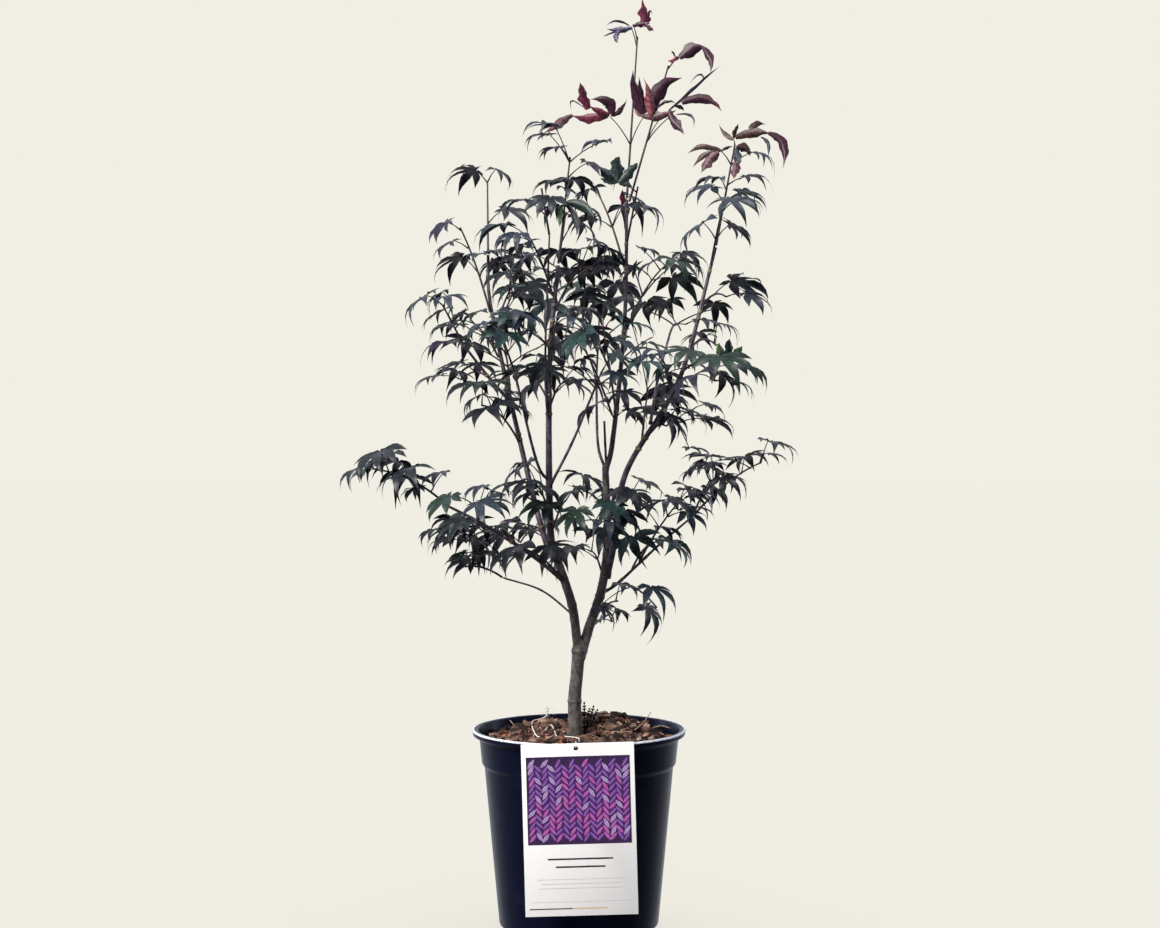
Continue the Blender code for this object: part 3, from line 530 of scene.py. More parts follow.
# %% The dark spray
# foot, tip and radius of each stem
SPRAY_STEMS = (((7, 8, 174), (14, 10, 203), 1.0), ((5, 10, 174), (5, 13, 206), 1.1),
               ((8, 14, 175), (18, 20, 198), 0.8), ((6, 12, 175), (10, 14, 200), 0.8))
BRISTLE_PAIRS, BRISTLE_TURN = 9, 47
debris = bmesh.new()
for foot, tip, thick in SPRAY_STEMS:
    foot, tip = Vector(foot), Vector(tip)
    add_tube(debris, [foot.lerp(tip, index / 5) for index in range(6)],
             [thick * (1 - 0.12 * index) for index in range(6)], 5)
    heading = (tip - foot).normalized()
    for index in range(BRISTLE_PAIRS):
        spot = foot.lerp(tip, 0.2 + 0.09 * index)
        for hand in (0, 180):
            turn = Matrix.Rotation(math.radians(hand + index * BRISTLE_TURN), 3, heading)
            around = turn @ heading.orthogonal().normalized()
            end = spot + (around * 0.8 + heading * 0.8) * (5.2 - 0.4 * index)
            add_tube(debris, [spot, spot.lerp(end, 0.5), end], [0.5, 0.62, 0.15], 4)
add_piece("dark_debris", debris, [chip_dark])

# %% Dry twigs
TWIG_ROUTES = (((52, -8, 182), (61, 4, 188), (68, 12, 196)), ((70, 20, 180), (78, 14, 183), (86, 10, 181)),
               ((30, -30, 180), (44, -22, 183), (52, -24, 181)),
               ((-52, 10, 178), (-60, 22, 181), (-66, 30, 186)))
dry_twigs = bmesh.new()
for route in TWIG_ROUTES:
    line = smooth_route(route, 3)
    add_tube(dry_twigs, line, [0.55 * (1 - 0.4 * index / len(line)) for index in range(len(line))], 5)
add_piece("dry_twigs", dry_twigs, [coir])

# %% [markdown]
# ## Finish of the hanging card: coated board and ink
# The card is coated board, which gives an almost white, even surface with a soft gloss. Ink on it is
# slightly uneven, and keeps the gloss of the board.

# %% Card and inks
card_white, tree, shader, place = new_material(
    "coated_white_board", "#f3f3f5", Roughness=0.38, IOR=1.5, Coat_Weight=0.15, Coat_Roughness=0.25)
fibre = add_node(tree, "ShaderNodeTexNoise", {"Vector": place, "Scale": 500, "Detail": 5})
lay_on(tree, shader, "#f6f6f8", [(fibre.outputs["Fac"], 0, 1, 0, 1, "#fdfdfe")],
       [(fibre.outputs["Fac"], 0.06, 0.0002)])


def ink_material(name, colour, other):
    """Printed ink: a slightly uneven colour with the same soft gloss as the coated board."""
    material, tree, shader, place = new_material(name, colour, Roughness=0.38, IOR=1.5)
    blotch = add_node(tree, "ShaderNodeTexNoise", {"Vector": place, "Scale": 260, "Detail": 3})
    lay_on(tree, shader, colour, [(blotch.outputs["Fac"], 0, 1, 0, 1, other)])
    return material


INK_COLOURS = {"plum": ("#2a1a3c", "#3b2350"), "violet": ("#5f2c86", "#7a3f9e"),
               "magenta": ("#98338f", "#b353ab"), "lilac": ("#a583c8", "#c9b2e0"),
               "grey": ("#b9b9be", "#c6c6ca"), "black": ("#1f1f24", "#2a2a30"),
               "gold": ("#b9a25c", "#d6c58b")}
inks = [ink_material("ink_" + name, *colours) for name, colours in INK_COLOURS.items()]
PLUM, VIOLET, MAGENTA, LILAC, GREY, BLACK, GOLD = range(len(inks))

# %% [markdown]
# ## The hanging card
# The card is about 0.6 mm thick, printed on the front and hung by a punched hole. The sheet is a
# scaled cube with softened edges. The print is a plain design: a violet panel with rows of pointed
# oval leaves, and plain rules under it. Ink has no thickness to see, so each patch of colour is a
# flat shape that stands a few hundredths of a millimetre in front of the sheet.

# %% Cut the card and punch its hole
CARD_WIDTH, CARD_HEIGHT, CARD_THICKNESS = 100.0, 153.0, 0.6
CARD_HOLE, CARD_HOLE_RADIUS = Vector((-2.7, -102.6, 180.4)), 2.0
CARD_MIDDLE = Vector((0.7, -102.6, 108.4))
CARD_TILT = -math.radians(1.6)
card_place = Matrix.Translation(CARD_MIDDLE * MM) @ Matrix.Rotation(CARD_TILT, 4, "Y")
upright = Matrix.Rotation(math.pi / 2, 4, "X")
sheet = bmesh.new()
bmesh.ops.create_cube(sheet, size=1)
bmesh.ops.scale(sheet, verts=sheet.verts, vec=Vector((CARD_WIDTH, CARD_THICKNESS, CARD_HEIGHT)) * MM)
bmesh.ops.bevel(sheet, geom=sheet.edges[:], offset=0.12 * MM, segments=2, profile=0.5,
                affect="EDGES", material=-1)
bmesh.ops.transform(sheet, matrix=card_place, verts=sheet.verts)
card = add_piece("label_sheet", sheet, [card_white], ["label_card"], 30)
hole = bmesh.new()
bmesh.ops.create_cone(hole, cap_ends=True, segments=32, radius1=CARD_HOLE_RADIUS * MM,
                      radius2=CARD_HOLE_RADIUS * MM, depth=6 * MM,
                      matrix=Matrix.Translation(CARD_HOLE * MM) @ upright)
punch(card, hole)

# %% [markdown]
# The printed leaves lie in slanting rows, turned left and right by turns as in a herringbone. A leaf
# is a circle of ten corners, squeezed to an oval and drawn out to a point at both ends. Rows stand a
# hair in front of each other, so that no two patches share a plane.

# %% A patch of ink
INK_LIFT, LAYER_LIFT = 0.03, 0.012


def add_patch(bm, x, z, width, height, layer, ink, turn=0.0, pointed=False):
    """A flat patch of ink at a place on the card's front, in the card's own millimetres."""
    part = bmesh.new()
    if pointed:
        verts = bmesh.ops.create_circle(part, cap_ends=True, segments=10, radius=0.5)["verts"]
        for vert in verts:
            vert.co.y *= (1 - abs(2 * vert.co.x)) ** 0.35
    else:
        verts = bmesh.ops.create_grid(part, x_segments=1, y_segments=1, size=0.5)["verts"]
    place = (Matrix.Translation(Vector((x, -CARD_THICKNESS / 2 - INK_LIFT - LAYER_LIFT * layer, z)) * MM)
             @ Matrix.Rotation(math.radians(turn), 4, "Y") @ upright
             @ Matrix.Diagonal((width * MM, height * MM, 1, 1)))
    bmesh.ops.transform(part, matrix=card_place @ place, verts=verts)
    for face in part.faces:
        face.material_index = ink
    add_to(bm, part)


# %% Print on the card
PANEL_WIDTH, PANEL_LOW, PANEL_HIGH = 92.0, -13.0, 65.0
ROWS, COLUMNS = 13, 15
FIRST_COLUMN, COLUMN_STEP, ROW_STEP, STAGGER = -41.5, 5.95, 5.5, 1.2
LEAF_TILT = 52
PRINTED_LEAF, PRINTED_RIB = (10.2, 3.5), (7.5, 0.35)
LEAF_LAYERS, RIB_LAYER = 9, 11
PRINT_SEED = 5
# place across and height on the card, width, height and ink
RULES = ((0, -26, 58, 1.5, BLACK), (0, -33, 44, 1.5, BLACK), (0, -44, 78, 0.5, GREY),
         (0, -48, 70, 0.5, GREY), (0, -52, 74, 0.5, GREY), (0, -64, 86, 0.35, GREY),
         (-27, -70, 38, 1.0, BLACK), (8, -70, 31, 1.0, GOLD))
printing = bmesh.new()
add_patch(printing, 0, (PANEL_LOW + PANEL_HIGH) / 2, PANEL_WIDTH, PANEL_HIGH - PANEL_LOW, 0, PLUM)
rng = random.Random(PRINT_SEED)
for row in range(ROWS):
    for column in range(COLUMNS):
        x = FIRST_COLUMN + column * COLUMN_STEP + rng.uniform(-0.4, 0.4)
        z = PANEL_LOW + 6 + row * ROW_STEP + (column % 2) * STAGGER
        tilt = (LEAF_TILT if column % 2 else -LEAF_TILT) + rng.uniform(-9, 9)
        ink = rng.choices((VIOLET, MAGENTA, LILAC), (5, 4 if row < 7 else 2, 2))[0]
        if abs(x) < PANEL_WIDTH / 2 - 3.4 and PANEL_LOW + 5 < z < PANEL_HIGH - 5:
            layer = 1 + (row * COLUMNS + column) % LEAF_LAYERS
            add_patch(printing, x, z, *PRINTED_LEAF, layer, ink, tilt, True)
            add_patch(printing, x, z, *PRINTED_RIB, RIB_LAYER, PLUM if ink == LILAC else LILAC, tilt)
for x, z, width, height, ink in RULES:
    add_patch(printing, x, z, width, height, 1, ink)
add_piece("label_print", printing, inks)

# %% [markdown]
# ## The string
# It is thin white twine of two plies, about a millimetre across. Each ply is swept along a helix
# round the twine's line, one turn every 3 mm, so the twist is real geometry. Its far end is frayed.

# %% White cotton
twine, tree, shader, place = new_material("white_cotton_twine", "#eceae6", Roughness=0.9, Sheen_Weight=0.3)
fuzz = add_node(tree, "ShaderNodeTexNoise", {"Vector": place, "Scale": 1500, "Detail": 2})
lay_on(tree, shader, "#d3d0cb", [(fuzz.outputs["Fac"], 0, 1, 0, 1, "#f4f3f1")])


# %% The string's route, through the hole, over the lip and across the mix
STRING_RADIUS = 0.5
CHIP_TOPS = 3.4


def on_soil(x, y, lift=0.0):
    """Where the string's middle lies on the chips."""
    return (x, y, bed_height(x, y) + STRING_RADIUS + CHIP_TOPS + lift)


route = [(CARD_HOLE.x, -103.0, CARD_HOLE.z + 0.6),
         (CARD_HOLE.x, -101.5, CARD_HOLE.z + 1.8), (CARD_HOLE.x, -99.6, POT_HEIGHT + 1.0),
         (CARD_HOLE.x, -96.8, POT_HEIGHT + 1.6), (CARD_HOLE.x, -93.6, POT_HEIGHT + 1.0),
         (CARD_HOLE.x - 0.3, -91.2, 180.0), (CARD_HOLE.x - 0.6, -89.5, 176.8 + 1),
         on_soil(-4, -80, 0.5), on_soil(0, -45, 0.8), on_soil(-16, -10), on_soil(-20, -34, 0.6),
         on_soil(-27, 30), on_soil(-37, -38, 0.6), on_soil(-45, 40), on_soil(-33, 62, 4), (-30, 74, 190)]
TWINE_STEP = 0.6
line = [point * MM for point in smooth_route(route, TWINE_STEP)]
print("string in mm:", round(sum((after - here).length for here, after in zip(line, line[1:])) / MM))

# %% Two plies and a frayed end
TWINE_PITCH = 3.0
PLY_OFFSET, PLY_RADIUS = 0.27, 0.34
HAIRS, FRAY_SEED = 26, 3
HAIR_SHARES, HAIR_RADII, HAIR_SAG = (0, 0.35, 0.7, 1), (0.16, 0.13, 0.1, 0.06), -0.35
string = bmesh.new()
for ply in (0, math.pi):
    coil = []
    for index, here in enumerate(frames_along(line)):
        turn = ply + index * TWINE_STEP / TWINE_PITCH * math.tau
        coil.append(here @ (Vector((math.cos(turn), math.sin(turn), 0)) * PLY_OFFSET * MM))
    add_tube(string, coil, [PLY_RADIUS * MM] * len(coil), 5, 1)
rng = random.Random(FRAY_SEED)
for _ in range(HAIRS):
    start = line[-1 - rng.randrange(10)]
    drift = Vector((rng.gauss(0, 1), rng.gauss(0, 0.7), rng.gauss(0.2, 0.9))).normalized()
    hair = [start + (drift + UP * HAIR_SAG * share) * share * rng.uniform(6, 11) * MM
            for share in HAIR_SHARES]
    add_tube(string, hair, [radius * MM for radius in HAIR_RADII], 3, 1)
add_piece("label_twine", string, [twine], ["label_string"])

# %% [markdown]
# ## How the tree is drawn
# The trunk and its limbs are routes of a few points with a diameter at each end. Foliage comes in
# masses: each one has a stem that leaves a limb, and pairs of leaves or side shoots up that stem, as
# maples grow. The tables below are the tree's plan, in millimetres, and everything that follows is
# worked out from them by one growing rule and a fixed seed for each mass.

# %% Trunk and limbs: name, route, diameters at foot and tip
Limb = namedtuple("Limb", "name route girth")
LIMBS = (
    Limb("trunk", ((-3, 0, 172.3), (-4, 0, 209), (-2, 0, 233), (0, 0, 258)), (12.6, 11.0)),
    Limb("left_stem", ((0, 0, 248), (-4, -3, 284), (-8, -6, 305), (-23, -14, 350)), (8.2, 7.4)),
    Limb("right_stem", ((1, 0, 248), (9, 6, 275), (21, 13, 311), (27, 19, 357), (25, 24, 429)), (9.4, 6.2)),
    Limb("left_leader", ((-22, -14, 341), (-27, -16, 381), (-27, -28, 522), (-19, -38, 613)), (7.4, 3.6)),
    Limb("far_left_leader", ((-21, -13, 341), (-33, -6, 365), (-57, 19, 457), (-84, 36, 580), (-87, 42, 630)),
         (6.0, 2.8)),
    Limb("centre_leader", ((25, 24, 423), (32, 22, 453), (43, 12, 565), (45, 10, 679)), (5.2, 2.9)),
    Limb("right_leader", ((26, 17, 323), (33, 8, 355), (44, -10, 423), (93, -35, 511), (125, -42, 629)),
         (6.6, 2.9)),
    Limb("low_left_bough", ((-14, -10, 322), (-46, -34, 349), (-88, -53, 377), (-118, -60, 393)), (5.2, 2.8)),
    Limb("low_left_twig", ((-5, -4, 289), (-35, 12, 311), (-72, 27, 322)), (3.2, 2.4)),
    Limb("far_left_outer", ((-65, 23, 489), (-85, 16, 512), (-108, 4, 542)), (3.4, 2.4)),
    Limb("inner_left", ((-27, -18, 414), (-39, -34, 434), (-58, -64, 514)), (3.0, 2.2)),
    Limb("cross_branch", ((-27, -18, 410), (-6, -50, 451), (10, -72, 489)), (3.0, 2.2)),
    Limb("inner_branch", ((25, 24, 425), (18, 38, 451), (17, 72, 513)), (3.0, 2.2)),
    Limb("right_inner", ((66, -24, 468), (74, 4, 510), (86, 26, 553)), (3.0, 2.2)),
    Limb("low_right_bough", ((21, 13, 308), (38, 25, 318), (78, 49, 353), (110, 61, 379)), (4.0, 2.6)),
)

# %% Masses of foliage
# name, limb, where on it, end of the stem, bow, pairs, pairs that are shoots, length of a leaf, seed,
# turn of the first pair in degrees, tint
Mass = namedtuple("Mass", "name limb at tip bow nodes shoots leaf seed turn tint", defaults=[0, "green"])
MASSES = [Mass(*row) for row in (
    ("crown_top", "centre_leader", 1.0, (55, 12, 832), 0, 0, 0, 35, 1, 0, "red"),
    ("crown_right", "centre_leader", 0.96, (83, -14, 800), 0, 0, 0, 35, 2, 10, "red"),
    ("centre_upper", "centre_leader", 0.84, (54, -36, 685), 0, 2, 0, 33, 3, 0, "purple"),
    ("centre_right", "centre_leader", 0.52, (82, 40, 619), 8, 3, 1, 35, 4),
    ("centre_left", "centre_leader", 0.74, (16, 50, 693), 8, 3, 0, 33, 5, 20),
    ("centre_back", "centre_leader", 0.26, (50, 118, 571), 12, 3, 1, 35, 7),
    ("left_top", "left_leader", 1.0, (-8, -45, 711), 0, 4, 0, 33, 8, 0, "purple"),
    ("left_side", "left_leader", 0.86, (-44, -62, 635), 4, 3, 0, 33, 9, 30),
    ("left_back", "left_leader", 0.8, (8, 20, 623), 6, 3, 1, 33, 10),
    ("left_front", "left_leader", 0.56, (-20, -104, 557), 6, 3, 1, 33, 11),
    ("left_low", "left_leader", 0.14, (-40, -66, 414), 4, 3, 0, 33, 12),
    ("far_left_top", "far_left_leader", 1.0, (-88, 52, 701), 0, 3, 0, 32, 13, 0, "purple"),
    ("far_left_out", "far_left_leader", 0.8, (-113, 30, 655), 6, 3, 0, 33, 14, 0, "purple"),
    ("far_left_in", "far_left_leader", 0.8, (-58, 78, 613), 6, 3, 0, 33, 15),
    ("far_left_back", "far_left_leader", 0.56, (-75, 118, 547), 10, 3, 1, 35, 16),
    ("outer_left", "far_left_outer", 1.0, (-127, -8, 579), 0, 2, 0, 35, 17),
    ("outer_left_low", "far_left_outer", 0.5, (-112, 40, 511), 6, 2, 0, 35, 18),
    ("left_lower", "far_left_leader", 0.42, (-90, -20, 485), 8, 3, 0, 38, 39),
    ("right_top", "right_leader", 1.0, (142, -46, 722), 0, 3, 0, 32, 19, 0, "purple"),
    ("right_side", "right_leader", 0.93, (129, -68, 661), 2, 2, 0, 32, 20, 0, "purple"),
    ("right_outer", "right_leader", 0.82, (132, -70, 582), 6, 2, 0, 35, 21),
    ("right_mid", "right_leader", 0.7, (128, -8, 541), 6, 2, 0, 33, 22),
    ("right_droop", "right_leader", 0.62, (122, -80, 506), 10, 3, 0, 38, 23),
    ("right_low", "right_leader", 0.44, (91, -60, 469), 8, 2, 0, 36, 24),
    ("right_inner_back", "right_inner", 1.0, (100, 92, 561), 8, 3, 1, 35, 26),
    ("right_lower_in", "right_leader", 0.4, (66, 32, 499), 6, 3, 0, 35, 40),
    ("inner_back", "inner_branch", 1.0, (21, 118, 591), 0, 3, 1, 35, 27),
    ("front_centre", "cross_branch", 1.0, (20, -112, 513), 0, 3, 1, 35, 28),
    ("front_left", "inner_left", 1.0, (-69, -104, 549), 0, 3, 1, 33, 29),
    ("low_left_end", "low_left_bough", 1.0, (-180, -66, 426), 6, 5, 0, 35, 30),
    ("low_left_side", "low_left_bough", 0.78, (-93, -104, 397), 4, 4, 0, 33, 31),
    ("low_left_under", "low_left_bough", 0.56, (-106, 0, 357), 6, 3, 0, 35, 32),
    ("low_twig_end", "low_left_twig", 1.0, (-110, 50, 331), 4, 3, 0, 33, 33),
    ("low_centre_left", "far_left_leader", 0.12, (-56, 40, 355), 6, 3, 0, 35, 41),
    ("low_right_end", "low_right_bough", 1.0, (178, 78, 431), 6, 5, 0, 33, 34),
    ("low_right_mid", "low_right_bough", 0.48, (95, 16, 395), 4, 3, 0, 33, 35),
    ("low_right_in", "right_leader", 0.12, (66, -40, 394), 4, 3, 0, 35, 42),
    ("low_right_under", "low_right_bough", 0.22, (72, -22, 298), 6, 3, 0, 33, 36),
    ("centre_low", "right_stem", 0.56, (14, -44, 378), 4, 4, 0, 35, 37),
    ("stem_right", "right_stem", 0.3, (32, 50, 278), 6, 1, 0, 33, 38),
)]

# %% Leaves that stand out from the crown, set one by one
# mass, where the stalk leaves its stem, end of the stalk, end of the middle lobe before it droops,
# droop, colour if it has one of its own, turn about the middle lobe in degrees
Placed = namedtuple("Placed", "mass share base aim droop colour roll", defaults=[None, 0])
PLACED = [Placed(*row) for row in (
    ("crown_top", 0.97, (50, 6, 840), (59, 12, 869), 0.15, "crimson", 20),
    ("crown_top", 0.94, (49, 14, 839), (22, 8, 842), 0.25, "violet_grey", -10),
    ("crown_top", 0.33, (28, -4, 755), (-17, -16, 780), 0.2, "crimson", -70),
    ("crown_top", 0.33, (61, -16, 752), (74, -26, 794), 0.2, "wine", -50),
    ("crown_right", 0.44, (60, -36, 744), (66, -68, 752), 0.4, "wine"),
    ("crown_right", 0.44, (86, -16, 748), (127, -22, 764), 0.45, "wine", 15),
    ("crown_right", 0.96, (94, -18, 808), (117, -28, 818), 0.45, "wine", -15),
    ("crown_right", 0.6, (92, 12, 765), (131, 20, 802), 0.1, "violet_grey", 10),
    ("right_top", 1.0, (141, -48, 733), (179, -56, 736), 0.45, "russet", 20),
    ("right_top", 0.96, (129, -54, 720), (103, -76, 714), 0.4, "russet"),
    ("left_top", 0.95, (-22, -50, 738), (-51, -62, 744), 0.6),
    ("centre_upper", 0.9, (34, -46, 692), (35, -54, 717), 0.15, "slate_green"),
    ("low_right_end", 0.3, (128, 54, 437), (104, 32, 443), 0.4),
)]
print("limbs:", len(LIMBS), " masses:", len(MASSES), " leaves set one by one:", len(PLACED))

# %% [markdown]
# ## Finish of the bark
# A young maple has thin smooth bark. The trunk has already gone grey-brown, with fine upright
# cracks, pale corky dots and a few rings where old leaf scars went round it. The younger stems are
# still dark purplish grey with a slight shine, like waxed wood, and paler streaks along them. The
# cracks are about 1 mm apart, so the noise is squeezed across the stem and stretched along it.

# %% Old bark and young bark
def bark_material(name, deep, main, pale, roughness, relief):
    """Bark: streaks along the stem, pale patches and corky dots, with a relief to match."""
    material, tree, shader, place = new_material(name, main, Roughness=roughness, IOR=1.45)
    stretched = add_node(tree, "ShaderNodeMapping", {"Vector": place, "Scale": (1, 1, 0.16)})
    streaks = add_node(tree, "ShaderNodeTexNoise", {
        "Vector": stretched.outputs["Vector"], "Scale": 950, "Detail": 8, "Roughness": 0.65})
    patches = add_node(tree, "ShaderNodeTexNoise", {"Vector": place, "Scale": 95, "Detail": 4})
    dots = add_node(tree, "ShaderNodeTexVoronoi", {"Vector": place, "Scale": 330, "Randomness": 1.0})
    lay_on(tree, shader, deep, [(streaks.outputs["Fac"], 0.36, 0.62, 0, 1, main),
                                (patches.outputs["Fac"], 0.46, 0.66, 0, 0.75, pale),
                                (dots.outputs["Distance"], 0.10, 0.24, 0.8, 0, pale)],
           [(streaks.outputs["Fac"], relief, 0.0005)])
    return material


old_bark = bark_material("grey_maple_bark", "#2a2526", "#4c4645", "#77726e", 0.62, 0.6)
young_bark = bark_material("dark_young_bark", "#1f1924", "#3d3342", "#6c5f6c", 0.45, 0.35)
twig_bark = bark_material("purple_twig_bark", "#1d141c", "#35262f", "#54444a", 0.45, 0.2)
scar_cork = bark_material("leaf_scar_cork", "#4c3b34", "#7d6a50", "#a08b76", 0.7, 0.3)

# %% [markdown]
# ## Trunk and limbs
# Each limb follows its route in fine steps. Its radius tapers evenly, spreads into a collar where it
# leaves its parent, and swells at every node where something grows out of it. The trunk also flares
# at the soil. After the sweep each vertex is moved in or out by noise that is stretched along the
# stem: low ridges with shallow cracks on the trunk, and hardly any on young wood.

# %% The growing line of a limb, worked out as in the solids
COARSE_STEP, TRUNK_STEP = 34, 11
# limbs that are one skin of old bark, and how much thicker or thinner than its solid a limb is drawn
TRUNK_AND_STEMS = ("trunk", "left_stem", "right_stem")
SLENDER = {"left_stem": 1.08, "right_stem": 1.06, "trunk": 1.04, "low_left_twig": 0.66,
           "low_right_bough": 0.78, "low_left_bough": 0.86}


def girth_at(limb, share):
    """Radius of a limb at a share of its length, as it is drawn."""
    foot, tip = limb.girth
    return (foot + (tip - foot) * share) / 2 * SLENDER.get(limb.name, 1)


class Grown:
    """A limb's coarse centre line and radii in millimetres, which stems of foliage start from."""

    def __init__(self, limb):
        self.limb = limb
        self.points = smooth_route(limb.route, TRUNK_STEP if limb.name == "trunk" else COARSE_STEP)
        foot, tip = limb.girth
        last = len(self.points) - 1
        self.radii = [(foot + (tip - foot) * index / last) / 2 for index in range(last + 1)]

    def at(self, share):
        """Place at a share of the length."""
        place = share * (len(self.points) - 1)
        index = min(int(place), len(self.points) - 2)
        return self.points[index].lerp(self.points[index + 1], place - index)

    def clearance(self, point):
        """Distance from the limb's skin to a point."""
        best = math.inf
        for index in range(len(self.points) - 1):
            near, share = intersect_point_line(point, self.points[index], self.points[index + 1])
            near = self.points[index].lerp(self.points[index + 1], min(max(share, 0), 1))
            best = min(best, (point - near).length - self.radii[index])
        return best


grown = {limb.name: Grown(limb) for limb in LIMBS}
print("points on the growing lines:", sum(len(line.points) for line in grown.values()))

# %% Nodes, swellings and the relief of bark
NODE_SPACING = 62.0


def limb_nodes(limb):
    """Shares of a limb's length where leaves, stems or old scars sit."""
    leaving = {mass.at for mass in MASSES if mass.limb == limb.name and mass.at < 1}
    length = sum((b - a).length for a, b in zip(grown[limb.name].points, grown[limb.name].points[1:]))
    count = max(2, round(length / NODE_SPACING))
    return sorted(leaving | {index / count for index in range(1, count)})


def swelling(distance, width):
    """A smooth bump: 1 in the middle, and near 0 two widths away."""
    return math.exp(-(distance / width) ** 2)


def rough_bark(bm, ridge, lump):
    """Moves every vertex in or out by noise drawn out along the stem."""
    bm.normal_update()
    for vert in bm.verts:
        spot = vert.co / MM
        ridges = noise.fractal(Vector((spot.x * 0.75, spot.y * 0.75, spot.z * 0.12)), 0.7, 2.1, 4)
        lumps = noise.noise(Vector((spot.x, spot.y, spot.z * 0.5)) / 7)
        vert.co += vert.normal * (ridges * ridge + lumps * lump) * MM


# %% One limb with its collar, nodes and bark
TRUNK_NODES = (0.42, 0.96)
FOOT_FLARE, FORK_FLARE = (1.7, 7), (0.7, 8)
COLLAR, NODE_SWELLING, NODE_WIDTH = 0.30, 0.13, 1.5
# how far the rounded end of the trunk stands above its last point, and its radius there
TRUNK_CAP = ((3, 0.93), (6, 0.76), (9, 0.48), (11, 0.2))


def draw_limb(bm, limb, step, sides, relief=0):
    """A limb with its collar, nodes and the relief of its bark, in its own mesh first."""
    points = smooth_route(limb.route, step)
    last = len(points) - 1
    nodes = TRUNK_NODES if limb.name == "trunk" else limb_nodes(limb)
    radii = []
    for index, point in enumerate(points):
        radius = girth_at(limb, index / last)
        if limb.name == "trunk":
            radius += FOOT_FLARE[0] * math.exp((points[0].z - point.z) / FOOT_FLARE[1])
            radius += FORK_FLARE[0] * math.exp((point.z - points[-1].z) / FORK_FLARE[1])
        elif limb.name not in TRUNK_AND_STEMS:
            foot = limb.girth[0]
            radius *= 1 + COLLAR * math.exp(-max(0, index * step - foot / 2) / (foot * 0.8))
        for node in nodes:
            radius *= 1 + NODE_SWELLING * swelling((index - node * last) * step, NODE_WIDTH)
        radii.append(radius)
    if limb.name == "trunk":
        for extra, share in TRUNK_CAP:
            points.append(points[last] + (points[last] - points[last - 1]).normalized() * extra)
            radii.append(radii[last] * share)
    part = bmesh.new()
    sweep(part, [point * MM for point in points], [radius * MM for radius in radii], sides)
    if relief:
        rough_bark(part, relief, relief)
    add_to(bm, part)


# %% Sweep all the limbs
# two that the solids do without: the stub of a cut leader, and a thin stem beside the left leader
EXTRA_LIMBS = (
    Limb("cut_stub", ((26, 23, 428), (25, 22, 446), (24, 20, 471)), (2.6, 2.2)),
    Limb("companion_stem", ((-27, -26, 452), (-31, -30, 520), (-27, -40, 640)), (2.6, 1.6)),
)
stems, leaders = bmesh.new(), bmesh.new()
for limb in LIMBS:
    if limb.name == "trunk":
        draw_limb(stems, limb, 1.0, 40)
    elif limb.name in TRUNK_AND_STEMS:
        draw_limb(stems, limb, 1.2, 30)
    else:
        draw_limb(leaders, limb, 1.6, 16 if limb.girth[0] > 5 else 12, 0.09)
for limb in EXTRA_LIMBS:
    grown[limb.name] = Grown(limb)
    draw_limb(leaders, limb, 1.6, 10, 0.06)
main_stems = add_piece("trunk_and_main_stems", stems, [old_bark], TRUNK_AND_STEMS)
thin_limbs = add_piece("leaders_and_boughs", leaders, [young_bark], [
    limb.name for limb in LIMBS if limb.name not in TRUNK_AND_STEMS])

# %% [markdown]
# Each node of a leader keeps the scar of last year's pair of leaves: a narrow corky ring, straw to
# rose in colour. It is a short swollen sleeve round the stem.

# %% Corky rings at the nodes
SCAR_LENGTH, SCAR_WIDTH = 3.2, 1.08
SCAR_PROFILE = ((-0.5, 0.9), (-0.3, 1.10), (0, 1.19), (0.3, 1.10), (0.5, 0.9))
THINNEST_SCARRED, THICKEST_SCARRED = 3.1, 8
scars = bmesh.new()
for limb in LIMBS:
    if not THINNEST_SCARRED <= limb.girth[0] <= THICKEST_SCARRED:
        continue
    line = smooth_route(limb.route, 1.6)
    last = len(line) - 1
    for node in limb_nodes(limb):
        index = round(node * last)
        heading = (line[min(index + 2, last)] - line[index - 2]).normalized()
        radius = girth_at(limb, node) * SCAR_WIDTH
        add_tube(scars, [line[index] + heading * SCAR_LENGTH * share for share, _ in SCAR_PROFILE],
                 [radius * wide for _, wide in SCAR_PROFILE], 14)
add_piece("leaf_scars", scars, [scar_cork])

# %% [markdown]
# The trunk and its two stems are three tubes that pass through each other at the fork. A voxel
# remesh makes one skin of them, and a little smoothing fills the crotch as living wood does. The
# ridges and the raised rings of old scars are moved out of that skin afterwards.

# %% Fuse the fork and raise the bark
VOXEL = 0.7
# place and height of each raised ring
SCAR_RINGS = (((-1, 0, 256), 0.7), ((-14, -9, 325), 0.7), ((14, 9, 293), 0.5),
              ((24, 16, 336), 0.7), ((26.5, 21, 392), 0.8), ((-4, -3, 284), 0.4))
RING_WIDTH = 1.1
fuse = main_stems.modifiers.new("one_skin", "REMESH")
fuse.mode = "VOXEL"
fuse.voxel_size = VOXEL * MM
fuse.use_smooth_shade = True
apply_modifiers(main_stems)
skin_bm = bmesh.new()
skin_bm.from_mesh(main_stems.data)
for _ in range(3):
    bmesh.ops.smooth_vert(skin_bm, verts=skin_bm.verts, factor=0.5,
                          use_axis_x=True, use_axis_y=True, use_axis_z=True)
rough_bark(skin_bm, 0.13, 0.20)
for place, height in SCAR_RINGS:
    for vert in skin_bm.verts:
        away = vert.co / MM - Vector(place)
        if abs(away.z) < 4 and away.xy.length < 12:
            vert.co += vert.normal * height * swelling(away.z + 0.12 * away.x, RING_WIDTH) * 0.5 * MM
for vert in skin_bm.verts:
    vert.co.z = max(vert.co.z, SOIL_SEAT * MM)
skin_bm.to_mesh(main_stems.data)
skin_bm.free()
